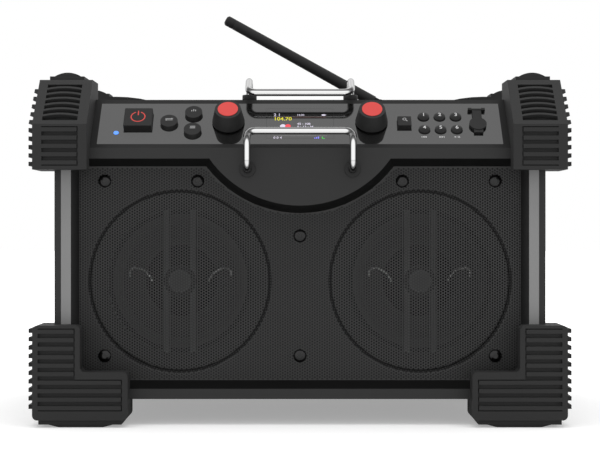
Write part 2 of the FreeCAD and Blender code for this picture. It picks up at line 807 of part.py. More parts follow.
def knob(name, sign):
    """A tapered knob with a red cap on a shaft that turns without end."""
    x, u = f"{sign}knob_x", "knob_u"
    cone = doc.addObject("Part::Cone", name + "_cone")
    cone.setExpression("Radius1", formula("knob_base / 2"))
    cone.setExpression("Radius2", formula("knob_top / 2"))
    cone.setExpression("Height", formula("knob_height - knob_gap"))
    on_panel(cone, x, u, "knob_gap")
    seat = panel_rod(name + "_seat", "knob_cap / 2", x, u, "knob_height - knob_cap_thickness / 2",
                     "knob_height + wall")
    bore = panel_rod(name + "_bore", "knob_shaft / 2", x, u, "0", "knob_height - wall")
    node(name, cut(name, cone, seat, bore))
    node(name + "_cap", panel_rod(name + "_cap", "knob_cap / 2", x, u, "knob_height - knob_cap_thickness / 2",
                                  "knob_height + knob_cap_thickness / 2"))
    node(name + "_shaft", panel_rod(name + "_shaft", "knob_shaft / 2", x, u, "-knob_shaft_depth",
                                    "knob_height - wall"))


def aux_port():
    """A socket for a plug, under a rubber cover that swings up on its strap."""
    barrel = panel_rod("aux_body", "aux_barrel / 2", "aux_x", "aux_u", "-aux_length", "0")
    bore = panel_rod("aux_hole", "aux_bore / 2", "aux_x", "aux_u", "-aux_length + wall", "wall")
    node("aux_socket", cut("aux_socket", barrel, bore))
    low, high = "running_gap", "running_gap + aux_cover_thickness"
    half = "aux_strap_width / 2"
    strap = panel_block("aux_strap", (f"aux_x - {half}", f"aux_x + {half}"), ("aux_tab_end", "aux_hinge_u"),
                        (low, f"{high} - 2 * running_gap"))
    disc = panel_rod("aux_disc", "aux_cover / 2", "aux_x", "aux_u", low, high)
    knuckle = aux_hinge_rod("aux_knuckle_rod", "aux_knuckle / 2", f"aux_x - {half}", "aux_strap_width")
    hole = aux_hinge_rod("aux_knuckle_bore", "aux_pin / 2 + pin_fit", f"aux_x - {half} - wall",
                         "aux_strap_width + 2 * wall")
    node("aux_port_cover", cut("aux_port_cover", join("aux_cover_solid", strap, disc, knuckle), hole))
    ears = []
    for side, far in (("-", "- wall"), ("+", "")):
        x = f"aux_x {side} ({half} + running_gap) {far}"
        u = ("aux_hinge_u - aux_knuckle / 2", "aux_hinge_u + aux_knuckle / 2")
        ears.append(panel_block("aux_ear", (x, f"{x} + wall"), u, ("0", f"{low} + aux_knuckle")))
    pin = aux_hinge_rod("aux_pin_rod", "aux_pin / 2", f"aux_x - {half} - wall", "aux_strap_width + 2 * wall")
    node("aux_cover_anchor", join("aux_cover_anchor", pin, *ears))


def aux_hinge_rod(name, radius, x, length):
    lift = "(running_gap + aux_knuckle / 2)"
    obj = rod(name, radius, length, x, f"panel_y + aux_hinge_u * cos(slope) - {lift} * sin(slope)",
              f"panel_z + aux_hinge_u * sin(slope) + {lift} * cos(slope)", "x")
    return obj


def bent_wire(corners, bend):
    """Straight runs through the corners, joined by arcs of the bend's radius."""
    edges = []
    start = corners[0]
    for before, corner, after in zip(corners, corners[1:], corners[2:]):
        a, b = (before - corner).normalize(), (after - corner).normalize()
        half = a.getAngle(b) / 2
        reach = bend / math.tan(half)
        middle = corner + (a + b).normalize() * (bend / math.sin(half) - bend)
        edges.append(Part.LineSegment(start, corner + a * reach).toShape())
        edges.append(Part.Arc(corner + a * reach, middle, corner + b * reach).toShape())
        start = corner + b * reach
    edges.append(Part.LineSegment(start, corners[-1]).toShape())
    return Part.Wire(edges)


def bent_bar(name, side_points):
    """A steel bar bent to the points of one leg and their mirror across the middle."""
    half_span, radius = number("bar_span / 2"), number("bar_diameter / 2")
    leg = [FreeCAD.Vector(-half_span, number(y), number(z)) for y, z in side_points]
    corners = leg + [FreeCAD.Vector(half_span, p.y, p.z) for p in reversed(leg)]
    wire = bent_wire(corners, number("bar_bend"))
    circle = Part.Wire(Part.makeCircle(radius, corners[0], corners[1] - corners[0]))
    obj = doc.addObject("Part::Feature", name)
    obj.Shape = wire.makePipeShell([circle], True, False)
    return node(name, obj)


def roll_bars():
    """Two chromed bars that stand over the panel, each in a pair of sockets."""
    reach = "bezel - front_bar_reach"
    bent_bar("roll_bar_front", [
        ("bezel + bar_seat", "front_bar_foot_z"),
        (reach, "front_bar_foot_z"),
        (reach, "front_bar_knee_z"),
        ("front + front_bar_top_setback", "front_bar_top_z"),
    ])
    rear = "front + rear_bar_foot_setback"
    bent_bar("roll_bar_rear", [
        (rear, "cabinet_top - bar_seat / 2"),
        (rear, "rear_bar_knee_z"),
        ("front + rear_bar_top_setback", "rear_bar_top_z"),
    ])
    sockets = []
    for sign in ("-", ""):
        x = f"{sign}bar_span / 2"
        ring = rod("front_ring", "front_ring / 2", "1.5 * wall", x, "bezel - wall / 2", "front_bar_foot_z",
                   "y")
        ring_bore = rod("front_ring_bore", "bar_diameter / 2", "3 * wall", x, "bezel - wall",
                        "front_bar_foot_z", "y")
        collar = rod("rear_collar", "rear_collar / 2", "rear_collar_height", x, rear, "cabinet_top", "z")
        collar_bore = rod("rear_collar_bore", "bar_diameter / 2", "2 * rear_collar_height", x, rear,
                          "cabinet_top - wall", "z")
        sockets += [cut("front_socket", ring, ring_bore), cut("rear_socket", collar, collar_bore)]
    node("roll_bar_sockets", group("roll_bar_sockets", sockets))


def antenna_rod(name, radius, y0, y1):
    """A short rod across the antenna's hinge."""
    return rod(name, radius, f"({y1}) - ({y0})", "antenna_x", f"antenna_y + {y0}", "antenna_axis_z", "y")


def along_whip(obj, distance):
    obj.Placement = FreeCAD.Placement(FreeCAD.Vector(), FreeCAD.Rotation(FreeCAD.Vector(0, -1, 0), 1))
    obj.setExpression("Placement.Rotation.Angle", formula("90 - antenna_tilt"))
    return move(obj, f"antenna_x - ({distance}) * cos(antenna_tilt)", "antenna_y",
                f"antenna_axis_z + ({distance}) * sin(antenna_tilt)")


def whip_taper(name, start, end, low, high):
    obj = doc.addObject("Part::Cone", name)
    obj.setExpression("Radius1", formula(start))
    obj.setExpression("Radius2", formula(end))
    obj.setExpression("Height", formula(f"({high}) - ({low})"))
    return along_whip(obj, low)


def whip_rod(name, radius, low, high):
    obj = doc.addObject("Part::Cylinder", name)
    obj.setExpression("Radius", formula(radius))
    obj.setExpression("Height", formula(f"({high}) - ({low})"))
    return along_whip(obj, low)


def whip_tongue(low, high):
    """The flat tongue that joins the round whip to its hinge eye."""
    obj = block("whip_tongue", ("0", "antenna_tongue"), ("0", "antenna_blade"), (low, high))
    obj.Placement = FreeCAD.Placement(FreeCAD.Vector(), FreeCAD.Rotation(FreeCAD.Vector(0, -1, 0), 1))
    obj.setExpression("Placement.Rotation.Angle", formula("90 - antenna_tilt"))
    half = "antenna_tongue / 2"
    return move(obj, f"antenna_x - ({low}) * cos(antenna_tilt) - {half} * sin(antenna_tilt)",
                "antenna_y - antenna_blade / 2",
                f"antenna_axis_z + ({low}) * sin(antenna_tilt) - {half} * cos(antenna_tilt)")


def antenna_whip():
    """A rubber whip with a flat tongue and a hinge eye at its foot and a separate tip."""
    end = "(antenna_length - tip_groove_from_end)"
    stick = whip_taper("whip_stick", "antenna_base / 2", "antenna_tip / 2", "antenna_start",
                       f"{end} - running_gap")
    neck = whip_rod("whip_neck", "antenna_tip / 2 - running_gap", f"{end} - wall", f"{end} + wall")
    tip = whip_rod("whip_tip", "antenna_tip / 2", f"{end} + running_gap", "antenna_length - wall / 2")
    crown = whip_taper("whip_crown", "antenna_tip / 2", "antenna_tip / 2 - wall / 2",
                       "antenna_length - wall / 2",
                       "antenna_length")
    root = whip_tongue("0", "antenna_start + wall")
    eye = antenna_rod("whip_eye", "antenna_base / 2 - running_gap", "-antenna_blade / 2", "antenna_blade / 2")
    hole = antenna_rod("whip_hole", "antenna_pin / 2 + pin_fit", "-antenna_blade", "antenna_blade")
    node("antenna_whip", cut("antenna_whip", join("whip_solid", stick, neck, tip, crown, root, eye), hole))


def antenna_mount():
    """The fixed bush in the deck, the turning foot with its two ears, and the hinge pin."""
    x, y = "antenna_x", "antenna_y"
    under = "cabinet_top - wall"
    bush = rod("bush", "antenna_bush / 2", "antenna_stem_length", x, y, f"{under} - antenna_stem_length", "z")
    bore = rod("bush_bore", "antenna_stem / 2 + pin_fit", "2 * antenna_stem_length", x, y,
               f"{under} - antenna_stem_length + wall / 2", "z")
    node("antenna_socket", cut("antenna_socket", bush, bore))
    disc_low = "cabinet_top + running_gap"
    disc = rod("foot_disc", "antenna_disc / 2", "antenna_disc_thickness", x, y, disc_low, "z")
    stem = rod("foot_stem", "antenna_stem / 2", "antenna_stem_length + running_gap", x, y,
               f"{disc_low} - antenna_stem_length - running_gap", "z")
    pieces = [disc, stem]
    inner = "(antenna_blade / 2 + running_gap)"
    ear_radius = "antenna_base / 2 - running_gap"
    for low, high in ((f"-{inner} - antenna_ear", f"-{inner}"), (inner, f"{inner} + antenna_ear")):
        pieces.append(antenna_rod("ear_top", ear_radius, low, high))
        pieces.append(block("ear_post", (f"{x} - ({ear_radius})", f"{x} + {ear_radius}"),
                            (f"{y} + {low}", f"{y} + {high}"), (disc_low, "antenna_axis_z")))
    hole = antenna_rod("foot_hole", "antenna_pin / 2", "-antenna_disc", "antenna_disc")
    node("antenna_foot", cut("antenna_foot", join("foot_solid", *pieces), hole))
    end = f"({inner} + antenna_ear)"
    node("antenna_pin", antenna_rod("antenna_pin", "antenna_pin / 2", f"-{end}", end))


def upper_profile(inset):
    """Side view of an upper guard, drawn in by the inset at the front and the back."""
    face, top = f"front + {inset}", "upper_guard_top"
    run = "(upper_guard_top - upper_guard_slope_foot) / tan(slope)"
    back, wing = f"front + upper_guard_length - {inset} / 2", f"front + upper_guard_wing - {inset} / 2"
    step = "cabinet_top - (upper_guard_length - upper_guard_wing)"
    return [
        (face, "upper_guard_bottom"),
        (face, "upper_guard_slope_foot"),
        (f"{face} + {run}", top),
        (back, top),
        (back, "cabinet_top"),
        (wing, step),
        (wing, "upper_guard_bottom"),
    ]


def rib_blocks(name, total, x, y, first, pitch):
    """Level bars one below the other, from the first height down."""
    bars = []
    for i in range(total):
        middle = f"({first} - {i} * {pitch})"
        bars.append(block(f"{name}_{i}", x, y, (f"{middle} - rib_width / 2", f"{middle} + rib_width / 2")))
    return join(name, *bars)


def on_guard_slope(obj, x, u, lift):
    """Lays the object on the guard's sloped face: u runs up the slope and lift stands off it."""
    obj.Placement = FreeCAD.Placement(FreeCAD.Vector(), FreeCAD.Rotation(X, 1))
    obj.setExpression("Placement.Rotation.Angle", formula("slope"))
    y = f"front + ({u}) * cos(slope) - ({lift}) * sin(slope)"
    z = f"upper_guard_slope_foot + ({u}) * sin(slope) + ({lift}) * cos(slope)"
    return move(obj, x, y, z)


def slope_block(name, x, u, lift):
    return on_guard_slope(block(name, x, u, lift), x[0], u[0], lift[0])


def slope_disc(name, radius, x, u):
    obj = doc.addObject("Part::Cylinder", name)
    obj.setExpression("Radius", formula(radius))
    obj.setExpression("Height", formula("arch_slot_depth"))
    return on_guard_slope(obj, x, u, "-arch_slot_depth")


def arched_bars():
    """The bent bars in the window of the guard's sloped face."""
    middle = "(slot_left + slot_right) / 2"
    radius = "(((slot_right - slot_left) ^ 2 / 4 + arch_rise ^ 2) / 2 / arch_rise)"
    bars = []
    for i in range(count("slope_bars")):
        u = f"(arch_first_u + {i} * arch_pitch)"
        outer = slope_disc(f"arch_outer_{i}", f"{radius} + arch_bar / 2", middle, f"{u} - {radius}")
        inner = slope_disc(f"arch_inner_{i}", f"{radius} - arch_bar / 2", middle, f"{u} - {radius}")
        strip = slope_block(f"arch_strip_{i}", ("slot_left - wall", "slot_right + wall"),
                            (f"{u} - 2 * arch_rise", f"{u} + arch_bar"), ("-arch_slot_depth", "0"))
        bars.append(common(f"arch_bar_{i}", cut(f"arch_ring_{i}", outer, inner), strip))
    return bars


def face_pocket(name, x, first, last):
    """The shallow hollow round a stack of level bars, from the first bar down to the last."""
    return block(name, x, ("front - wall", "front + slot_depth"),
                 (f"{last} - rib_width / 2 - bar_end_gap", f"{first} + rib_width / 2 + bar_end_gap"))


def upper_guard():
    """A rubber corner with bars let into its front and its slope and ribs on its side."""
    solid = prism("upper_solid", "YZ_Plane", upper_profile("0"), "guard_inner / 2", "guard_side")
    total = count("front_bars")
    last = f"(front_first_bar - {total - 1} * front_bar_pitch)"
    pocket = face_pocket("upper_pocket", ("slot_left - bar_end_gap", "slot_right"), "front_first_bar", last)
    bars = rib_blocks("upper_bars", total, ("slot_left", "slot_right"),
                      ("front", "front + bezel_setback"), "front_first_bar", "front_bar_pitch")
    window = slope_block("upper_window", ("slot_left", "slot_right"),
                         ("arch_window_low", "arch_window_high"), ("-arch_slot_depth", "wall"))
    zone = prism("upper_rib_zone", "YZ_Plane", upper_profile("rib_setback"), "guard_side - wall",
                 "guard_side + rib_height")
    y = ("front", "front + upper_guard_length")
    ribs = rib_blocks("upper_ribs", count("side_ribs"), ("guard_side - wall", "guard_side + rib_height"), y,
                      "upper_first_rib", "rib_pitch")
    plate_start = "front + (upper_guard_top - upper_guard_slope_foot) / tan(slope) + wall"
    plate_end = "front + upper_guard_length - wall"
    plate = block("upper_plate", ("plate_left", "plate_right"), (plate_start, plate_end),
                  ("upper_guard_top - wall", "upper_guard_top + plate_thickness"))
    arch = hump("upper_hump", "hump_left", "hump_right", "upper_guard_top + plate_thickness", "hump_rise",
                f"{plate_start} + wall / 2", f"{plate_end} - wall / 2")
    shaped = cut("upper_shaped", solid, pocket, window)
    side_ribs = common("upper_side_ribs", zone, ribs)
    return join("upper_whole", shaped, bars, *arched_bars(), side_ribs, plate, arch)


def rear_arm():
    """The inward arm that only the rear upper guards have: its top falls in a slow curve."""
    inner, outer = "rear_arm_inner / 2", "guard_inner / 2"
    run = f"({outer} - {inner})"
    root = f"{outer} + wall"
    side = prism("rear_arm_side", "YZ_Plane", upper_profile("0"), inner, root)
    points = [(inner, "rear_arm_low"), (root, "rear_arm_low"), (root, "upper_guard_top")]
    for share in (0, 1 / 3, 2 / 3, 1):
        points.append((f"{outer} - {share} * {run}", f"upper_guard_top - {share ** 2} * rear_arm_drop"))
    top = prism("rear_arm_top", "XZ_Plane", points, "front", "front + upper_guard_length")
    return common("rear_arm", side, top)


def upper_guards(cabinet):
    whole = upper_guard()
    right = node("guard_front_upper_right", cut("guard_front_upper_right", whole, cabinet))
    node("guard_front_upper_left", mirror("guard_front_upper_left", right, X))
    turned = mirror("upper_guard_turned", join("upper_guard_with_arm", whole, rear_arm()), Y)
    back = node("guard_rear_upper_right", cut("guard_rear_upper_right", turned, cabinet))
    node("guard_rear_upper_left", mirror("guard_rear_upper_left", back, X))


def lower_guard(cabinet):
    """A rubber corner foot: an L in front view, a side wing, bars, ribs and a flat-bottomed sole."""
    low, top = "lower_guard_bottom", "lower_guard_top"
    tall, arm = "lower_guard_inner / 2", "lower_arm_inner / 2"
    points = [(arm, low), ("guard_side", low), ("guard_side", top), (tall, top), (tall, "lower_arm_top"),
              (arm, "lower_arm_top")]
    solid = prism("lower_solid", "XZ_Plane", points, "front", "front + lower_arm_depth", "guard_fillet")
    wing = block("lower_wing", (tall, "guard_side"), ("front + guard_fillet", "front + lower_guard_wing"),
                 (f"{low} + guard_fillet", f"{top} - guard_fillet"))
    total, long_total = count("lower_short_bars"), count("lower_long_bars")
    short_end = f"({tall} + rib_pitch - rib_width + wall / 2)"
    long_first = f"(lower_first_rib - {total} * rib_pitch)"
    long_last = f"(lower_first_rib - {total + long_total - 1} * rib_pitch)"
    tall_pocket = face_pocket("lower_pocket", (f"{short_end} - bar_end_gap", "foot_right"),
                              "lower_first_rib", long_first)
    long_pocket = face_pocket("lower_pocket", ("foot_left - bar_end_gap", "foot_right"), long_first,
                              long_last)
    depth = ("front", "front + bezel_setback")
    short = rib_blocks("lower_short", total, (short_end, "foot_right"), depth, "lower_first_rib", "rib_pitch")
    long_bars = rib_blocks("lower_long", long_total, ("foot_left", "foot_right"), depth, long_first,
                           "rib_pitch")
    ribs = rib_blocks("lower_ribs", count("side_ribs"), ("guard_side - wall", "guard_side + rib_height"),
                      ("front + rib_setback",
                       "front + lower_guard_wing - wall"), "lower_first_rib", "rib_pitch")
    whole = join("lower_whole", cut("lower_shaped", join("lower_blank", solid, wing), tall_pocket,
                                    long_pocket),
                 short, long_bars, ribs, lower_sole())
    return cut("lower_guard", whole, cabinet)


def lower_sole():
    """The plate under the foot and the flat-bottomed hump that meets the ground."""
    y = ("front + wall", "front + lower_arm_depth - wall")
    plate = block("sole_plate", ("foot_left", "foot_right"), y,
                  ("lower_guard_bottom - foot_plate", "lower_guard_bottom + wall"))
    inset = "(foot_hump_right - foot_hump_left - foot_flat) / 2"
    top = "foot_hump_rise + wall"
    points = [("foot_hump_left", top), ("foot_hump_left", "foot_hump_rise"), (f"foot_hump_left + {inset}",
                                                                              "0"),
              (f"foot_hump_right - {inset}", "0"), ("foot_hump_right",
                                                    "foot_hump_rise"), ("foot_hump_right", top)]
    pad = prism("sole_hump", "XZ_Plane", points, f"{y[0]} + wall / 2", f"{y[1]} - wall / 2")
    return join("sole", plate, pad)


def lower_guards(cabinet):
    right = lower_guard(cabinet)
    node("guard_front_lower_right", right)
    left = node("guard_front_lower_left", mirror("guard_front_lower_left", right, X))
    node("guard_rear_lower_right", mirror("guard_rear_lower_right", right, Y))
    node("guard_rear_lower_left", mirror("guard_rear_lower_left", left, Y))


def bay_block(name, grow, y0, y1):
    half = f"(bay_width / 2 + {grow})"
    return block(name, (f"-{half}", half), (y0, y1), (f"bay_low - {grow}", f"bay_high + {grow}"))


def hinge_rod(name, radius, half_length):
    return rod(name, radius, f"2 * ({half_length})", f"-({half_length})", "door_hinge_y", "door_hinge_z", "x")


def rear_housing(cabinet, cavity):
    """Back shell, with the battery opening, the hinge ears under it and the mains cut-out."""
    half = block("rear_half", ("-side", "side"), ("seam", "cabinet_back"), ("cabinet_bottom", "cabinet_top"))
    y = ("cabinet_back - 2 * wall", "cabinet_back + wall")
    tools = [cavity, bay_block("bay_mouth", "0", *y), inlet_block("inlet_cutout", "0", *y)]
    tools.append(rod("deck_hole", "antenna_stem / 2 + running_gap", "3 * wall", "antenna_x", "antenna_y",
                     "cabinet_top - 2 * wall", "z"))
    for x, z in rear_screw_places():
        tools.append(rod("rear_screw_hole", "rear_screw_shank / 2", "4 * wall", x, "cabinet_back - 2 * wall",
                         z, "y"))
    ears = []
    for sign, side in (("-", "- hinge_ear"), ("", "")):
        x = f"{sign}(hinge_length / 2 + running_gap) {side}"
        eye = rod("ear_eye", "hinge_barrel / 2", "hinge_ear", x, "door_hinge_y", "door_hinge_z", "x")
        web = block("ear_web", (x, f"{x} + hinge_ear"), ("cabinet_back - wall", "door_hinge_y"),
                    ("door_hinge_z - hinge_barrel / 2", "door_hinge_z + hinge_barrel / 2"))
        ears += [eye, web]
    shell = join("rear_shell", cut("rear_cut", common("rear_solid", cabinet, half), *tools), *ears)
    pin = hinge_rod("ear_bore", "hinge_pin / 2", "hinge_length / 2 + hinge_ear + wall")
    node("rear_housing", cut("rear_housing", shell, pin))
    node("door_hinge_pin", hinge_rod("door_hinge_pin", "hinge_pin / 2", "hinge_length / 2 + hinge_ear"))


def battery_door():
    """A flush door hinged under the battery opening."""
    y = ("cabinet_back - wall", "cabinet_back")
    plate = bay_block("door_plate", "-door_gap", *y)
    half = "hinge_length / 2"
    barrel = hinge_rod("door_barrel", "hinge_barrel / 2", half)
    leaf = block("door_leaf", (f"-{half}", half), ("cabinet_back + running_gap",
                                                   "door_hinge_y + hinge_barrel / 2"),
                 ("door_hinge_z", "bay_low + hinge_barrel"))
    leaf_foot = block("door_leaf_foot", (f"-{half}", half), ("cabinet_back - wall", "cabinet_back + wall"),
                      ("bay_low + door_gap", "bay_low + hinge_barrel"))
    grip = block("door_grip", ("-door_grip_width / 2", "door_grip_width / 2"), ("cabinet_back - wall",
                                                                                "cabinet_back + wall"),
                 ("bay_high - 4 * wall", "bay_high - 2 * wall"))
    bore = hinge_rod("door_bore", "hinge_pin / 2 + pin_fit", "hinge_length")
    node("battery_door", cut("battery_door", join("door_solid", plate, barrel, leaf, leaf_foot, grip), bore))


def battery_bay():
    """The box behind the door that a tool battery slides into."""
    back = "cabinet_back - wall"
    outside = bay_block("bay_outside", "bay_wall", f"{back} - bay_depth", back)
    inside = bay_block("bay_inside", "0", f"{back} - bay_depth + bay_wall", f"{back} + wall")
    node("battery_bay", cut("battery_bay", outside, inside))


def inlet_block(name, grow, y0, y1):
    half, tall = f"(inlet_width / 2 + {grow})", f"(inlet_height / 2 + {grow})"
    return block(name, (f"inlet_x - {half}", f"inlet_x + {half}"), (y0, y1),
                 (f"inlet_z - {tall}", f"inlet_z + {tall}"))


def mains_inlet():
    """The socket for the mains lead, with two round pins."""
    back = "cabinet_back"
    body = inlet_block("inlet_body", "0", f"{back} - inlet_depth", back)
    flange = inlet_block("inlet_flange_plate", "inlet_flange", back, f"{back} + inlet_wall")
    hollow = inlet_block("inlet_hollow", "-inlet_wall", f"{back} - inlet_depth + inlet_wall",
                         f"{back} + 2 * inlet_wall")
    pins = []
    for side in ("-", "+"):
        pins.append(rod("inlet_pin_rod", "inlet_pin / 2", "inlet_depth - inlet_wall",
                        f"inlet_x {side} inlet_pin_spread / 2",
                        f"{back} - inlet_depth + inlet_wall / 2", "inlet_z", "y"))
    shell = cut("inlet_shell", join("inlet_solid", body, flange), hollow)
    node("mains_inlet", join("mains_inlet", shell, *pins))


def electronics():
    """Amplifier board on the battery bay and the power supply on the floor."""
    roof = "bay_high + bay_wall"
    back = "cabinet_back - 4 * wall"
    node("main_board", block("main_board", ("-main_board_width / 2", "main_board_width / 2"),
                             (f"{back} - main_board_depth", back), (roof, f"{roof} + board_thickness")))
    half = "supply_width / 2"
    floor = "cabinet_bottom + wall"
    node("power_supply", block("power_supply", (f"supply_x - {half}", f"supply_x + {half}"),
                               (f"{back} - supply_depth", back), (floor, f"{floor} + supply_height")))


def rear_screw_places():
    heights = ("rear_screw_low", "rear_screw_middle", "rear_screw_high")
    return [(f"{sign}rear_screw_x", z) for sign in ("-", "") for z in heights]


def rear_screws():
    """Six pan-head screws that hold the back shell."""
    screws = []
    for x, z in rear_screw_places():
        head = rod("rear_head", "rear_screw_head / 2", "rear_screw_height", x, "cabinet_back", z, "y")
        shank = rod("rear_shank", "rear_screw_shank / 2", "rear_screw_length", x,
                    "cabinet_back - rear_screw_length", z, "y")
        screws.append(join("rear_screw", head, shank))
    node("housing_screws", group("housing_screws", screws))


def check():
    for obj in doc.Objects:
        if "Invalid" in obj.State or "Error" in obj.State:
            raise RuntimeError(f"{obj.Name} failed: {obj.State}")
    for obj in nodes:
        if obj.Shape.isNull() or not obj.Shape.isValid() or not obj.Shape.Solids:
            raise RuntimeError(f"{obj.Label} has no valid solid")


def write():
    os.makedirs("parts", exist_ok=True)
    for obj in nodes:
        obj.Shape.exportStep(f"parts/{obj.Label}.step")
        box = obj.Shape.BoundBox
        print(f"{obj.Label:26s} solids {len(obj.Shape.Solids)} volume {obj.Shape.Volume / 1000:9.2f} cm3 "
              f"X {box.XMin:7.1f} {box.XMax:7.1f} Y {box.YMin:7.1f} {box.YMax:7.1f} Z {box.ZMin:6.1f} {box.ZMax:6.1f}")


fill_sheet()
cabinet, cavity = front_housing()
rear_housing(cabinet, cavity)
node("side_trims", group("side_trims", [trim("-"), trim("")]))
speaker_grille()
speakers()
panel_fittings()
for control in control_places():
    button(*control)
knob("volume_knob", "-")
knob("tuning_knob", "")
aux_port()
roll_bars()
antenna_mount()
antenna_whip()
upper_guards(cabinet)
lower_guards(cabinet)
battery_bay()
battery_door()
mains_inlet()
electronics()
rear_screws()
doc.recompute()
check()
write()
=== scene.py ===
import math

import bpy
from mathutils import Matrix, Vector


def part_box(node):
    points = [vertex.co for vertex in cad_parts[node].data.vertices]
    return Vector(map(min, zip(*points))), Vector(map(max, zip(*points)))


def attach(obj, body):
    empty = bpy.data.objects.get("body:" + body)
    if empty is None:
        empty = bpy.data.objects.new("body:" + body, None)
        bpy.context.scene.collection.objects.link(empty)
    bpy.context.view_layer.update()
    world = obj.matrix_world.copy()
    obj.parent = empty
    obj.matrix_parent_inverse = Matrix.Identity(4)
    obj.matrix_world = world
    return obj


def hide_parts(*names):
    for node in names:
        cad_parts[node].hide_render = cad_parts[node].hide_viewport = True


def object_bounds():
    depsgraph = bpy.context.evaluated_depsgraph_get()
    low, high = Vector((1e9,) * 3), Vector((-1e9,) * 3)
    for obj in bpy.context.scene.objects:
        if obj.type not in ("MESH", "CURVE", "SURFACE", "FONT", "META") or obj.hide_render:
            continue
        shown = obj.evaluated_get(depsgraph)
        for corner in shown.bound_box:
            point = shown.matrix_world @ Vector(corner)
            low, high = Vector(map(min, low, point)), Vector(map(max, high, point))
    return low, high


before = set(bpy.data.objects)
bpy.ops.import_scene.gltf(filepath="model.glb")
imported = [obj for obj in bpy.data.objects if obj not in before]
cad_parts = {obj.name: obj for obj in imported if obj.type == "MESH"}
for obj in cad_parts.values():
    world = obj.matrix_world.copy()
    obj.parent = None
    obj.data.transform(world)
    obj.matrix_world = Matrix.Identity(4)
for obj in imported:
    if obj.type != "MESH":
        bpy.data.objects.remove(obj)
cad_box = [list(corner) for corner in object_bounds()]


# Cabinet
# The front and the back shell are thick ABS mouldings with a fine satin grain. The sloped walls round the
# speakers and the band under the apron are painted near black as shade, which fades out over the outer sides of
# the recess.
class Signal:
    """A shader socket that adds Math nodes when it is reckoned with."""

    def __init__(self, finish, socket):
        self.finish = finish
        self.socket = socket

    def math(self, operation, *values):
        return self.finish.add("ShaderNodeMath", {"operation": operation}, dict(enumerate(values)))

    def __add__(self, other):
        return self.math("ADD", self, other)

    def __radd__(self, other):
        return self.math("ADD", other, self)

    def __sub__(self, other):
        return self.math("SUBTRACT", self, other)

    def __rsub__(self, other):
        return self.math("SUBTRACT", other, self)

    def __mul__(self, other):
        return self.math("MULTIPLY", self, other)

    def __rmul__(self, other):
        return self.math("MULTIPLY", other, self)

    def __gt__(self, other):
        return self.math("GREATER_THAN", self, other)

    def __lt__(self, other):
        return self.math("LESS_THAN", self, other)

    def __or__(self, other):
        return self.math("MAXIMUM", self, other)

    def __abs__(self):
        return self.math("ABSOLUTE", self)


class Finish:
    """The nodes of one material, or of the world, round its one shader."""

    def __init__(self, name, owner=None, shader="Principled BSDF"):
        self.material = owner or bpy.data.materials.new(name)
        self.material.use_nodes = True
        self.tree = self.material.node_tree
        self.shader = self.tree.nodes[shader]

    def add(self, kind, settings=None, inputs=None, output=0):
        node = self.tree.nodes.new(kind)
        for key, value in (settings or {}).items():
            if key == "stops":
                self.ramp(node.color_ramp.elements, value)
            else:
                setattr(node, key, value)
        for key, value in (inputs or {}).items():
            self.feed(node.inputs[key], value)
        return Signal(self, node.outputs[output])

    def ramp(self, elements, stops):
        """Sets a colour ramp's stops, given in order as places and grey levels."""
        for element, (place, level) in zip(elements, (stops[0], stops[-1])):
            element.position, element.color = place, (level, level, level, 1.0)
        for place, level in stops[1:-1]:
            elements.new(place).color = (level, level, level, 1.0)

    def feed(self, socket, value):
        if isinstance(value, Signal):
            self.tree.links.new(value.socket, socket)
        else:
            socket.default_value = value

    def set(self, **values):
        for key, value in values.items():
            self.feed(self.shader.inputs[key.replace("_", " ")], value)
        return self

    def place(self):
        return self.add("ShaderNodeTexCoord", output="Object")

    def axis(self, letter, vector=None):
        return self.add("ShaderNodeSeparateXYZ", inputs={"Vector": vector or self.place()}, output=letter)

    def noise(self, scale, detail=3.0, roughness=0.55):
        inputs = {"Vector": self.place(), "Scale": scale, "Detail": detail, "Roughness": roughness}
        return self.add("ShaderNodeTexNoise", inputs=inputs)

    def blend(self, factor, first, second):
        inputs = {0: factor, 6: first, 7: second}
        return self.add("ShaderNodeMix", {"data_type": "RGBA"}, inputs, output=2)

    def bump(self, height, strength, distance):
        inputs = {"Height": height, "Strength": strength, "Distance": distance}
        return self.add("ShaderNodeBump", inputs=inputs)


def shade(level, tint=(1.0, 1.0, 1.0)):
    """A colour from a grey level as it is seen on a screen, from 0 to 255."""
    linear = ((level / 255 + 0.055) / 1.055) ** 2.4
    return (linear * tint[0], linear * tint[1], linear * tint[2], 1.0)


def grained(name, rough, grain=900.0, depth=0.00006, level=0.25):
    """The fine grain that a spark-eroded mould leaves, with slow, faint changes of gloss."""
    finish = Finish(name)
    fine = finish.noise(grain, 2.0)
    return finish.set(Roughness=rough + 0.12 * (finish.noise(14.0) - 0.5),
                      Specular_IOR_Level=level,
                      Normal=finish.bump(fine, 0.5, depth))


def moulded(name, dark, light, *grain):
    """Moulded rubber or plastic of one grey, which drifts a little between two levels."""
    finish = grained(name, *grain)
    return finish.set(Base_Color=finish.blend(finish.noise(14.0), shade(dark), shade(light)))


def dress(node, finish):
    """Gives a CAD node's own mesh the finish."""
    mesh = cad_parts[node].data
    mesh.materials.clear()
    mesh.materials.append(finish.material)


def soften(node, radius, angle=35.0, segments=2):
    """Rounds a node's sharp edges, as a mould or a tumbler leaves them."""
    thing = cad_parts[node]
    weld = thing.modifiers.new("weld", "WELD")
    weld.merge_threshold = 0.000002
    bevel = thing.modifiers.new("rounding", "BEVEL")
    bevel.width = radius
    bevel.segments = segments
    bevel.limit_method = "ANGLE"
    bevel.angle_limit = math.radians(angle)
    bevel.use_clamp_overlap = True
    bevel.harden_normals = True
    return thing


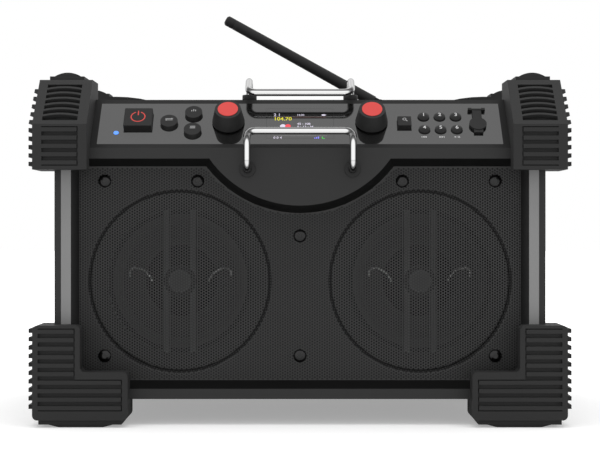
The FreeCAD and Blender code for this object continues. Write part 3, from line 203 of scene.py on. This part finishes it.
RECESS_HALF_WIDTH = 0.1876
RECESS_LOW = 0.0296
RECESS_HIGH = 0.2186
BEZEL_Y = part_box("front_housing")[0][1]
BEZEL_ROUND = 0.0004
RECESS_DEPTH = 0.02
SIDE_FADE = 0.006
CONSOLE_TILT = (0.6, 0.75)
SPEAKER_X = 0.0993
SPEAKER_Z = 0.1176
RING_RADIUS = 0.0745


def from_speaker(finish):
    """How far a place is from the middle line of the nearer speaker."""
    place = finish.add("ShaderNodeVectorMath", {"operation": "ABSOLUTE"}, {0: finish.place()})
    middle = (SPEAKER_X, 0.0, SPEAKER_Z)
    away = finish.add("ShaderNodeVectorMath", {"operation": "SUBTRACT"}, {0: place, 1: middle})
    flat = finish.add("ShaderNodeVectorMath", {"operation": "MULTIPLY"}, {0: away, 1: (1.0, 0.0, 1.0)})
    return finish.add("ShaderNodeVectorMath", {"operation": "LENGTH"}, {0: flat}, output="Value")


housing = Finish("housing_plastic")
height_z = housing.axis("Z")
inward = housing.axis("Y")
# Painted shade: the recess walls between the bezel and the grille are painted near black, fading to the plain
# grey over the outer SIDE_FADE of their sides.
inside = inward > (BEZEL_Y + BEZEL_ROUND)
shallow = inward < (BEZEL_Y + RECESS_DEPTH)
between = housing.add("ShaderNodeMapRange", inputs={
    "Value": abs(housing.axis("X")), "From Min": RECESS_HALF_WIDTH - SIDE_FADE, "From Max": RECESS_HALF_WIDTH,
    "To Min": 1.0, "To Max": 0.0})
level = (height_z > RECESS_LOW) * (height_z < RECESS_HIGH)
recess_shade_mask = inside * shallow * between * level
tone = housing.noise(11.0)
fine = housing.noise(1100.0, 2.0)
# Painted shade: faces tilted like the console, facing up at about 47 degrees, are painted darker than the rest
# of the shell.
facing = housing.axis("Z", housing.add("ShaderNodeNewGeometry", output="Normal"))
tilt_shade_mask = (facing > CONSOLE_TILT[0]) * (facing < CONSOLE_TILT[1])
plain = housing.blend(tone, shade(47), shade(53))
tilt_shaded = housing.blend(tilt_shade_mask, plain, shade(27))
recess_shaded = housing.blend(recess_shade_mask, tilt_shaded, shade(9))
# Behind the grille the baffle is painted darker inside each speaker's ring, as painted shade of the speaker
# cavity.
behind = recess_shade_mask * (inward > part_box("speaker_grille")[0][1])
baffle_ring_shaded = housing.blend(from_speaker(housing) < RING_RADIUS, shade(40), shade(16))
housing.set(Base_Color=housing.blend(behind, recess_shaded, baffle_ring_shaded),
            Roughness=0.5 + 0.12 * (tone - 0.5),
            Specular_IOR_Level=0.22,
            Normal=housing.bump(fine, 0.5, 0.00005))
for node in ("front_housing", "rear_housing", "battery_door"):
    dress(node, housing)
    soften(node, 0.0012)

trim_finish = moulded("trim_metal", 138, 148, 0.42, 1500.0, 0.00003)
dress("side_trims", trim_finish)
soften("side_trims", 0.0003)

dark_plastic = moulded("dark_plastic", 20, 26, 0.5)
for node in ("display_module", "encoder_bodies", "aux_socket", "antenna_socket", "aux_cover_anchor",
             "battery_bay", "mains_inlet"):
    dress(node, dark_plastic)
soften("mains_inlet", 0.0006)


# Corner guards
# Eight corners of thick black rubber, moulded with bars on the faces and ribs on the sides, and
# pushed over the cabinet's corners.
GUARDS = [f"guard_{end}_{height}_{side}" for end in ("front", "rear") for height in ("upper", "lower")
          for side in ("left", "right")]

guard_rubber = moulded("guard_rubber", 46, 52, 0.62, 700.0, 0.00009, 0.2)
for node in GUARDS:
    dress(node, guard_rubber)
    soften(node, 0.0011)


# Speakers
# Paper cones with a rubber surround in pressed steel baskets. They show only as soft shapes behind
# the grille's holes.
WELL_RADIUS = 0.030
EDGE_RADIUS = 0.0555
TWEETER_RADIUS = 0.0094
cone_paper = Finish("cone_paper")
pulp = cone_paper.noise(500.0, 2.0)
paper = cone_paper.blend(pulp, shade(52), shade(60))
# Painted shade: the cone's deep middle inside WELL_RADIUS is painted near black.
cone_paper.set(Base_Color=cone_paper.blend(from_speaker(cone_paper) < WELL_RADIUS, paper, shade(3)),
               Roughness=0.7 + 0.1 * pulp, Specular_IOR_Level=0.2, Normal=cone_paper.bump(pulp, 0.5, 0.0002))
surround_rubber = grained("rubber_black", 0.5, 700.0, 0.00004, 0.2)
# Painted shade: the surround is grey inside EDGE_RADIUS and painted near black in a thin ring at its outer
# edge.
clear_of_edge_shade = from_speaker(surround_rubber) < EDGE_RADIUS
surround_rubber.set(Base_Color=surround_rubber.blend(clear_of_edge_shade, shade(3), shade(50)))
painted_steel = moulded("steel_painted", 8, 12, 0.5, 900.0, 0.00004)
magnet_finish = moulded("magnet", 50, 62, 0.55, 300.0, 0.0002)
for node in ("woofer_cone_left", "woofer_cone_right"):
    dress(node, cone_paper)
dress("speaker_surrounds", surround_rubber)
for node in ("speaker_baskets", "power_supply"):
    dress(node, painted_steel)
dress("speaker_magnets", magnet_finish)
bridge_plastic = grained("bridge_plastic", 0.5)
# Painted shade: a ring round each tweeter disc on the bridge is painted near black.
round_gap = from_speaker(bridge_plastic)
gap_ring_shade = (round_gap > TWEETER_RADIUS) * (round_gap < 1.42 * TWEETER_RADIUS)
bridge_plastic.set(Base_Color=bridge_plastic.blend(gap_ring_shade, shade(78), shade(3)))
dress("tweeter_bridges", bridge_plastic)

# Grille
# One steel sheet, punched all over with small staggered holes, with a round groove pressed in round
# each speaker, and painted dark grey. Eight black dome screws hold it on.
PITCH_ACROSS = 0.00204
PITCH_UP = 0.00236
HOLE_RADIUS = 0.00083
SHEET = 0.0008
ARC_RADIUS = 0.0968
ARC_CENTRE_Z = 0.2707
RING_WIDTH = 0.0016
RING_DEPTH = 0.0011
EIGHTHS = [(math.cos(k * math.pi / 4), math.sin(k * math.pi / 4)) for k in range(8)]
CELL = [(1, 0), (1, 1), (0, 1), (-1, 1), (-1, 0), (-1, -1), (0, -1), (1, -1)]
ON_EDGE = 0.0000001
SLIVER = 0.0001

grille_low, grille_high = (Vector(corner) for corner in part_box("speaker_grille"))
HALF_ACROSS = (grille_high.x - grille_low.x) / 2
GRILLE_Y = grille_low.y
BOTTOM, TOP = grille_low.z, grille_high.z


def pressed(x, z):
    """How far the sheet is pressed in at that place."""
    off_ring = math.hypot(abs(x) - SPEAKER_X, z - SPEAKER_Z) - RING_RADIUS
    return RING_DEPTH * math.exp(-(off_ring / RING_WIDTH) ** 2)


def held_in(x, z):
    """The nearest place inside the sheet's outline."""
    x = max(-HALF_ACROSS, min(HALF_ACROSS, x))
    z = max(BOTTOM, min(TOP, z))
    away = math.hypot(x, z - ARC_CENTRE_Z)
    if away < ARC_RADIUS:
        x, z = x * ARC_RADIUS / away, ARC_CENTRE_Z + (z - ARC_CENTRE_Z) * ARC_RADIUS / away
    return x, z


def punched_sheet():
    """The sheet cell by cell, each with its hole, and cut off plain along the outline."""
    points, faces, walls, known = [], [], [], {}

    def corner(x, z):
        key = (round(x * 1e6), round(z * 1e6))
        if key not in known:
            known[key] = len(points)
            points.append((x, GRILLE_Y + pressed(x, z), z))
        return known[key]

    columns = int(HALF_ACROSS / PITCH_ACROSS) + 1
    rows = int((TOP - BOTTOM) / PITCH_UP) + 2
    for i in range(-columns, columns + 1):
        for j in range(rows):
            x = i * PITCH_ACROSS
            z = BOTTOM + (j + 0.5 * (i % 2)) * PITCH_UP
            edge = [(x + a * PITCH_ACROSS / 2, z + b * PITCH_UP / 2) for a, b in CELL]
            inner = [held_in(*place) for place in edge]
            moved = max(math.hypot(a[0] - b[0], a[1] - b[1]) for a, b in zip(edge, inner))
            if moved > ON_EDGE:
                ring = []
                for place in inner:
                    n = corner(*place)
                    if n not in ring:
                        ring.append(n)
                spread = max(p[0] for p in inner) - min(p[0] for p in inner)
                tall = max(p[1] for p in inner) - min(p[1] for p in inner)
                if len(ring) > 2 and spread > SLIVER and tall > SLIVER and moved < PITCH_UP:
                    faces.append(ring)
                continue
            outer = [corner(*place) for place in edge]
            first = len(points)
            for depth in (0, SHEET):
                for c, s in EIGHTHS:
                    px, pz = x + c * HOLE_RADIUS, z + s * HOLE_RADIUS
                    points.append((px, GRILLE_Y + pressed(px, pz) + depth, pz))
            for k in range(8):
                n = (k + 1) % 8
                faces.append((outer[k], outer[n], first + n, first + k))
                walls.append(len(faces))
                faces.append((first + k, first + n, first + 8 + n, first + 8 + k))
    return points, faces, walls


grille_paint = Finish("grille_paint")
speck = grille_paint.noise(900.0, 2.0)
off_groove = from_speaker(grille_paint) - RING_RADIUS
# Painted shade: the pressed groove round each speaker is painted near black.
groove_shade = abs(off_groove) < RING_WIDTH * 0.85
painted = grille_paint.blend(grille_paint.noise(9.0), shade(60), shade(67))
grille_paint.set(Base_Color=grille_paint.blend(groove_shade, painted, shade(3)),
                 Roughness=0.5, Specular_IOR_Level=0.2, Normal=grille_paint.bump(speck, 0.35, 0.00004))


def new_piece(name, points, faces, finish, body, smooth=False):
    mesh = bpy.data.meshes.new(name)
    mesh.from_pydata(points, [], faces)
    mesh.validate()
    if smooth:
        mesh.shade_smooth()
    piece = bpy.data.objects.new(name, mesh)
    bpy.context.scene.collection.objects.link(piece)
    mesh.materials.append(finish.material)
    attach(piece, body)
    return piece


sheet_points, sheet_faces, hole_walls = punched_sheet()
grille = new_piece("punched_grille", sheet_points, sheet_faces, grille_paint, "cabinet")
# Painted shade: the walls of the punched holes are painted near black.
hole_wall_shade = moulded("hole_wall_shade", 5, 8, 0.6)
grille.data.materials.append(hole_wall_shade.material)
for n in hole_walls:
    grille.data.polygons[n].material_index = 1
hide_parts("speaker_grille")

screw_black = moulded("screw_black", 8, 11, 0.22, 1400.0, 0.00001, 0.5)
for node in ("grille_screws", "housing_screws"):
    dress(node, screw_black)
soften("grille_screws", 0.0003, 40.0)


# Speaker leads
# Two braided leads run to each cone's middle and show as thin bright lines through the grille. They
# move with the cone.
LEAD = [(-0.0415, 0.0035), (-0.0418, 0.0078), (-0.0385, 0.0106), (-0.0340, 0.0100), (-0.0290, 0.0075),
        (-0.0250, 0.0030), (-0.0236, -0.0005)]
LEAD_RADIUS = 0.0008
LEAD_SIDES = 6
lead_metal = Finish("braided_lead")
strands = lead_metal.add("ShaderNodeTexNoise", inputs={"Vector": lead_metal.place(), "Scale": 2500.0})
lead_metal.set(Base_Color=lead_metal.blend(strands, (0.55, 0.55, 0.53, 1.0), (0.95, 0.95, 0.93, 1.0)),
               Roughness=0.35, Normal=lead_metal.bump(strands, 0.6, 0.0002))


def lead_tube(places, y):
    """A thin round braid along a bent line of places in the cone's mouth."""
    points, faces = [], []
    for k, (x, z) in enumerate(places):
        before, after = places[max(k - 1, 0)], places[min(k + 1, len(places) - 1)]
        along = Vector((after[0] - before[0], 0, after[1] - before[1])).normalized()
        side = Vector((0, 1, 0)).cross(along)
        for n in range(LEAD_SIDES):
            turn = 2 * math.pi * n / LEAD_SIDES
            offset = (side * math.cos(turn) + Vector((0, 1, 0)) * math.sin(turn)) * LEAD_RADIUS
            points.append(tuple(Vector((x, y, z)) + offset))
    for k in range(len(places) - 1):
        for n in range(LEAD_SIDES):
            a, b = k * LEAD_SIDES + n, k * LEAD_SIDES + (n + 1) % LEAD_SIDES
            faces.append((a, b, b + LEAD_SIDES, a + LEAD_SIDES))
    last = (len(places) - 1) * LEAD_SIDES
    faces.append(tuple(range(LEAD_SIDES))[::-1])
    faces.append(tuple(range(last, last + LEAD_SIDES)))
    return points, faces


def rounded(places, steps=6):
    """The same line with smooth bends between its places."""
    fine = []
    for k in range(len(places) - 1):
        p0, p1 = places[max(k - 1, 0)], places[k]
        p2, p3 = places[k + 1], places[min(k + 2, len(places) - 1)]
        for n in range(steps):
            t = n / steps
            fine.append(tuple(
                0.5 * (2 * b + (c - a) * t + (2 * a - 5 * b + 4 * c - d) * t ** 2
                       + (3 * b - a - 3 * c + d) * t ** 3)
                for a, b, c, d in zip(p0, p1, p2, p3)))
    return fine + [places[-1]]


LEAD_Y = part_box("woofer_cone_left")[0][1] + 0.0012
for side_name, sign in (("left", -1), ("right", 1)):
    for end_name, hand in (("outer", 1), ("inner", -1)):
        bent = [(sign * SPEAKER_X + hand * x, SPEAKER_Z + z) for x, z in rounded(LEAD)]
        lead = new_piece(f"{side_name}_speaker_{end_name}_lead", *lead_tube(bent, LEAD_Y), lead_metal,
                         f"cone_{side_name}", smooth=True)


# Control panel
# A near-black glossy polycarbonate sheet lies in the sloped console. The display sits under it, so
# only its lit figures show.
SLOPE = math.radians(47.2)
ALONG = Vector((1, 0, 0))
UP_SLOPE = Vector((0, math.cos(SLOPE), math.sin(SLOPE)))
OUT = Vector((0, -math.sin(SLOPE), math.cos(SLOPE)))
overlay_low, overlay_high = (Vector(corner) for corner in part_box("panel_overlay"))
OVERLAY_LENGTH = 0.0488
PANEL = Vector((0, overlay_low.y, overlay_high.z - OVERLAY_LENGTH * math.sin(SLOPE)))


def on_panel(x, u, lift=0.0):
    return PANEL + ALONG * x + UP_SLOPE * u + OUT * lift


def spot(node):
    """A control's middle on the panel, and how far it stands off it."""
    low, high = (Vector(corner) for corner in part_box(node))
    points = [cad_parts[node].matrix_world @ v.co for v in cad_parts[node].data.vertices]
    ups = [(p - PANEL).dot(UP_SLOPE) for p in points]
    lift = max((p - PANEL).dot(OUT) for p in points)
    return (low.x + high.x) / 2, (min(ups) + max(ups)) / 2, lift


gloss = Finish("overlay_gloss")
haze = gloss.noise(6.0)
gloss.set(Base_Color=gloss.blend(haze, shade(20), shade(26)), Roughness=0.04 + 0.03 * haze, IOR=2.0)
for node in ("panel_overlay", "display_lens"):
    dress(node, gloss)

board_lacquer = moulded("board", 50, 62, 0.4)
for node in ("control_board", "main_board"):
    dress(node, board_lacquer)

lamp = Finish("lamp_blue")
lamp.set(Base_Color=(0.05, 0.2, 0.8, 1.0), Emission_Color=(0.1, 0.28, 0.85, 1.0), Emission_Strength=0.8,
         Roughness=0.3)
dress("status_led", lamp)


# Printing
# Figures, rings and arrows are pad-printed or lit. Each is a thin flat shape laid just proud of
# what carries it.
PRINT_LIFT = 0.00006


def ink(name, colour, glow=0.0):
    finish = Finish(name)
    finish.set(Base_Color=colour, Roughness=0.45, Specular_IOR_Level=0.2)
    if glow:
        finish.set(Emission_Color=colour, Emission_Strength=glow)
    return finish


white_ink = ink("white_ink", (0.62, 0.62, 0.62, 1.0))
pale_ink = ink("pale_ink", (0.42, 0.42, 0.42, 1.0))
grey_ink = ink("grey_ink", (0.30, 0.30, 0.30, 1.0))
red_ink = ink("red_ink", (0.62, 0.07, 0.06, 1.0))
lit_white = ink("lit_white", (0.62, 0.58, 0.70, 1.0), 0.35)
lit_yellow = ink("lit_yellow", (0.66, 0.62, 0.03, 1.0), 0.35)
lit_blue = ink("lit_blue", (0.2, 0.2, 0.8, 1.0), 0.5)
lit_green = ink("lit_green", (0.05, 0.45, 0.06, 1.0), 0.5)
lit_red = ink("lit_red", (0.75, 0.07, 0.09, 1.0), 0.35)
dim_red = ink("dim_red", (0.22, 0.09, 0.08, 1.0))


def flat_print(name, outlines, x, u, lift, finish, body):
    """Flat shapes on the panel's slope, each a list of (across, up) places in metres."""
    points, faces = [], []
    for shape in outlines:
        first = len(points)
        points += [tuple(on_panel(x + a, u + b, lift + PRINT_LIFT)) for a, b in shape]
        faces.append(list(range(first, first + len(shape))))
    piece = new_piece(name, points, faces, finish, body)
    piece.visible_glossy = False
    return piece


def bar(x0, y0, x1, y1, width):
    """A straight stroke as an outline."""
    along = Vector((x1 - x0, y1 - y0)).normalized()
    side = Vector((-along.y, along.x)) * width / 2
    ends = (Vector((x0, y0)), Vector((x1, y1)))
    return [tuple(ends[0] - side), tuple(ends[1] - side), tuple(ends[1] + side), tuple(ends[0] + side)]


def arc_strip(radius, width, start, end, steps=40):
    """A bent stroke as quads."""
    quads = []
    for k in range(steps):
        a0, a1 = (math.radians(start + (end - start) * n / steps) for n in (k, k + 1))
        inner, outer = radius - width / 2, radius + width / 2
        corners = ((inner, a0), (outer, a0), (outer, a1), (inner, a1))
        quads.append([(r * math.cos(a), r * math.sin(a)) for r, a in corners])
    return quads


def figures(name, text, size, x, u, lift, finish, body, align="CENTER"):
    """Plain numbers, cut from the built-in typeface and laid on the slope."""
    curve = bpy.data.curves.new(name, "FONT")
    curve.body = text
    curve.size = size
    curve.align_x = align
    curve.align_y = "CENTER"
    curve.offset = size * 0.012
    maker = bpy.data.objects.new(name, curve)
    bpy.context.scene.collection.objects.link(maker)
    bpy.context.view_layer.update()
    mesh = bpy.data.meshes.new_from_object(maker.evaluated_get(bpy.context.evaluated_depsgraph_get()))
    bpy.data.objects.remove(maker)
    for v in mesh.vertices:
        v.co = on_panel(x + v.co.x, u + v.co.y, lift + PRINT_LIFT)
    piece = bpy.data.objects.new(name, mesh)
    bpy.context.scene.collection.objects.link(piece)
    mesh.materials.clear()
    mesh.materials.append(finish.material)
    piece.visible_glossy = False
    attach(piece, body)
    return piece


# Push buttons
# Silicone-coated caps that come up through the panel. The power button carries a red ring, the six
# presets a number each, and small arrows are printed under the lower row.
BUTTONS = ["power_button", "source_button", "tone_button", "info_button", "search_button"]
PRESETS = [f"preset_button_{n}" for n in range(1, 7)]

button_rubber = moulded("button_rubber", 30, 35, 0.45, 900.0, 0.00004, 0.22)
for node in BUTTONS + PRESETS:
    dress(node, button_rubber)
    soften(node, 0.0007 if node in BUTTONS else 0.0005, 38.0).visible_glossy = False

power_x, power_u, power_lift = spot("power_button")
flat_print("power_mark", arc_strip(0.0057, 0.0009, 112, 428) + [bar(0, 0.0018, 0, 0.0072, 0.0009)],
           power_x, power_u, power_lift, red_ink, "power_button")
for n, node in enumerate(PRESETS, start=1):
    x, u, lift = spot(node)
    figures(f"preset_figure_{n}", str(n), 0.0052, x, u + 0.0004, lift, white_ink, node)


def triangle(x, y, size, toward=1):
    """An arrow head that points right, or left where toward is -1."""
    half = size / 2
    return [(x - toward * half, y - half), (x + toward * half, y), (x - toward * half, y + half)][::toward]


ARROW = 0.0017
ARROW_DROP = 0.0078
arrows = {
    "back_arrows": [triangle(-0.0012, 0, ARROW, -1), triangle(0.0006, 0, ARROW, -1),
                    bar(-0.0025, -0.0009, -0.0025, 0.0009, 0.0004)],
    "on_arrows": [triangle(-0.0006, 0, ARROW), triangle(0.0012, 0, ARROW),
                  bar(0.0025, -0.0009, 0.0025, 0.0009, 0.0004)],
    "play_arrow": [triangle(-0.0014, 0, ARROW), bar(0.0006, -0.0009, 0.0006, 0.0009, 0.0005),
                   bar(0.0018, -0.0009, 0.0018, 0.0009, 0.0005)],
}
for node, (name, shapes) in zip(PRESETS[3:], arrows.items()):
    x, u, _ = spot(node)
    flat_print(name, shapes, x, u - ARROW_DROP, 0.0, white_ink, "cabinet")
marks = {
    "source_button": [bar(-0.0030, 0.0006, 0.0022, 0.0006, 0.0005), triangle(0.0026, 0.0006, 0.0016),
                      bar(-0.0022, -0.0010, 0.0030, -0.0010, 0.0005), triangle(-0.0026, -0.0010, 0.0016, -1)],
    "tone_button": [bar(a, -0.0012, a, top, 0.0006)
                    for a, top in ((-0.0016, 0.0004), (0.0, 0.0014), (0.0016, 0.0008))],
    "info_button": [bar(-0.0022, 0.0012 - 0.0011 * n, 0.0022, 0.0012 - 0.0011 * n, 0.0005) for n in range(3)],
    "search_button": arc_strip(0.0013, 0.0005, 0, 360) + [bar(0.0010, -0.0010, 0.0024, -0.0024, 0.0006)],
}
for node, shapes in marks.items():
    x, u, lift = spot(node)
    flat_print(node.replace("button", "mark"), shapes, x, u + 0.0018, lift, pale_ink, node)


# Display
# A small colour display under the overlay: a number in yellow, a clock, a battery, steps of signal
# strength and two overlapping discs.
LEFT, RIGHT = -0.0220, 0.0219
TOP_ROW, RULE_ROW, NUMBER_ROW = 0.0348, 0.0323, 0.0300
FIRST_LINE, SECOND_LINE, DISC_ROW = 0.0240, 0.0204, 0.0212
LOW_RULE, LOW_ROW = 0.0098, 0.0074


def shown(name, text, size, x, u, finish, align="LEFT"):
    return figures(name, text, size, x, u, 0.0, finish, "cabinet", align)


def lit(name, outlines, x, u, finish, lift=0.0):
    return flat_print(name, outlines, x, u, lift, finish, "cabinet")


shown("display_band", "2 1", 0.0046, LEFT, TOP_ROW, lit_white)
shown("display_clock", "12:30", 0.0028, -0.0027, TOP_ROW, lit_white)
lit("display_battery", [bar(0.0182, 0, 0.0210, 0, 0.0018), bar(0.0212, 0, 0.0218, 0, 0.0009)],
    0.0, TOP_ROW, lit_white)
lit("display_rule", [bar(LEFT, 0, RIGHT, 0, 0.0003)], 0.0, RULE_ROW, dim_red)
shown("display_number", "104.70", 0.0056, LEFT, NUMBER_ROW, lit_yellow)
lit("display_disc_pale", arc_strip(0.0012, 0.0024, 0, 360), -0.0142, DISC_ROW, lit_white)
lit("display_disc_red", arc_strip(0.0012, 0.0024, 0, 360), -0.0100, DISC_ROW, lit_red, 0.00004)
shown("display_line_one", "45 : 108", 0.0034, -0.0024, FIRST_LINE, lit_white)
shown("display_line_two", "0 : 12 : 36", 0.0034, -0.0024, SECOND_LINE, lit_white)
lit("display_low_rule", [bar(LEFT, 0, RIGHT, 0, 0.0003)], 0.0, LOW_RULE, grey_ink)
shown("display_count", "0 0 4", 0.0034, LEFT, LOW_ROW, lit_white)
lit("display_steps", [bar(0.0122 + 0.0015 * n, -0.0010, 0.0122 + 0.0015 * n, 0.0002 + 0.0006 * n, 0.0009)
                      for n in range(3)], 0.0, LOW_ROW, lit_blue)
lit("display_green_mark", [bar(0.0184, -0.0010, 0.0184, 0.0014, 0.0007),
                           bar(0.0187, -0.0008, 0.0204, -0.0008, 0.0007)], 0.0, LOW_ROW, lit_green)


# Knobs
# Two tapered knobs of soft-touch plastic, pushed on to the encoders' steel shafts. Each has a flat
# disc of red plastic let into its top.
knob_plastic = moulded("knob_plastic", 38, 44, 0.5, 900.0, 0.00004, 0.22)
for node in ("volume_knob", "tuning_knob"):
    dress(node, knob_plastic)
    soften(node, 0.0013, 38.0, 3)

red_plastic = Finish("red_plastic")
red_tone = red_plastic.noise(40.0)
red_plastic.set(Base_Color=red_plastic.blend(red_tone, (0.60, 0.052, 0.046, 1.0), (0.66, 0.062, 0.056, 1.0)),
                Roughness=0.4, Specular_IOR_Level=0.3)
steel = Finish("steel")
steel.set(Base_Color=(0.55, 0.55, 0.56, 1.0), Metallic=1.0, Roughness=0.3 + 0.1 * steel.noise(300.0))
for node in ("volume_knob_cap", "tuning_knob_cap"):
    dress(node, red_plastic)
for node in ("volume_knob_shaft", "tuning_knob_shaft", "door_hinge_pin", "antenna_pin"):
    dress(node, steel)


# Rubber port cover
# A soft moulded flap over the plug socket, with a strap above it and a pull tab below. Two pins on
# the strap hold it in the panel.
port_rubber = moulded("port_rubber", 33, 40, 0.55, 800.0, 0.00004, 0.22)
dress("aux_port_cover", port_rubber)
soften("aux_port_cover", 0.0005)


# Roll bars
# Two round steel bars, bent and chrome plated, that stand over the panel. Their ends are fixed in
# black plastic collars.
chrome = Finish("chrome")
# Painted reflection: the chrome's colour runs through light and dark bands from the middle of each bar to its
# edges, with the angle it is seen at.
edge = chrome.add("ShaderNodeLayerWeight", inputs={"Blend": 0.5}, output="Facing")
REFLECTION_BANDS = ((0.0, 0.95), (0.10, 0.90), (0.17, 0.20), (0.34, 0.05), (0.46, 0.22), (0.58, 0.70), (0.80, 0.30),
         (1.0, 0.50))
painted_reflection = chrome.add("ShaderNodeValToRGB", {"stops": REFLECTION_BANDS}, {"Fac": edge})
chrome.set(Base_Color=painted_reflection, Metallic=1.0, Roughness=0.05 + 0.03 * chrome.noise(60.0))
for node in ("roll_bar_front", "roll_bar_rear"):
    dress(node, chrome)
collar_plastic = moulded("collar_plastic", 36, 44, 0.5)
dress("roll_bar_sockets", collar_plastic)
soften("roll_bar_sockets", 0.0006, 40.0)


# Antenna
# A whip in a rubber sleeve. It folds on a steel pin in a small plastic foot, and the foot turns in
# its socket behind the top.
antenna_rubber = moulded("antenna_rubber", 38, 45, 0.6, 700.0, 0.00006, 0.2)
dress("antenna_whip", antenna_rubber)
dress("antenna_foot", knob_plastic)
soften("antenna_whip", 0.0005, 40.0)
soften("antenna_foot", 0.0005, 40.0)


# Camera, floor and light
# The photograph looks straight at the front from 1.19 m, level with the upper half of the grille.
# The floor and the surroundings are white, with soft light from all round and a lamp above.
CAMERA_DISTANCE = 1.19
CAMERA_HEIGHT = 0.164
LENS = 88.4

camera_data = bpy.data.cameras.new("camera")
camera_data.lens = LENS
camera_data.clip_end = 20.0
camera = bpy.data.objects.new("camera", camera_data)
camera.location = (0.0, cad_box[0][1] - CAMERA_DISTANCE, CAMERA_HEIGHT)
camera.rotation_euler = (math.radians(90), 0.0, 0.0)
bpy.context.scene.collection.objects.link(camera)
bpy.context.scene.camera = camera

AMBIENT = 0.72
world = bpy.data.worlds.new("studio")
bpy.context.scene.world = world
sky = Finish("studio", world, "Background")
to_camera, to_gloss, through_glass = (sky.add("ShaderNodeLightPath", output=f"Is {kind} Ray")
                                      for kind in ("Camera", "Glossy", "Transmission"))
sky.set(Color=(1.0, 1.0, 1.0, 1.0), Strength=AMBIENT + (1.0 - AMBIENT) * (to_camera | to_gloss | through_glass))

lamp_data = bpy.data.lights.new("softbox", "AREA")
lamp_data.shape = "RECTANGLE"
lamp_data.size = 2.2
lamp_data.size_y = 1.6
lamp_data.energy = 22.0
softbox = bpy.data.objects.new("softbox", lamp_data)
softbox.location = (0.0, -0.25, 2.0)
softbox.rotation_euler = (math.radians(6), 0.0, 0.0)
softbox.visible_glossy = False
bpy.context.scene.collection.objects.link(softbox)

floor_finish = Finish("floor_white")
floor_rays = floor_finish.add("ShaderNodeLightPath", output="Is Camera Ray")
# Painted light: to the camera the floor glows, weakly near the radio and fully white from 1.2 m back.
far = floor_finish.add("ShaderNodeMapRange", inputs={
    "Value": floor_finish.axis("Y"), "From Min": 0.3, "From Max": 1.2, "To Min": 0.34, "To Max": 1.0})
glow = floor_finish.blend(floor_rays * far, (0.0, 0.0, 0.0, 1.0), (1.0, 1.0, 1.0, 1.0))
floor_finish.set(Base_Color=(0.82, 0.82, 0.82, 1.0), Roughness=0.9, Specular_IOR_Level=0.0,
                 Emission_Color=glow, Emission_Strength=1.0)
floor_mesh = bpy.data.meshes.new("floor")
floor_mesh.from_pydata([(-6, -3, 0), (6, -3, 0), (6, 8, 0), (-6, 8, 0)], [], [(0, 1, 2, 3)])
floor_mesh.materials.append(floor_finish.material)
floor = bpy.data.objects.new("floor", floor_mesh)
bpy.context.scene.collection.objects.link(floor)

bpy.context.scene.view_settings.view_transform = "Standard"
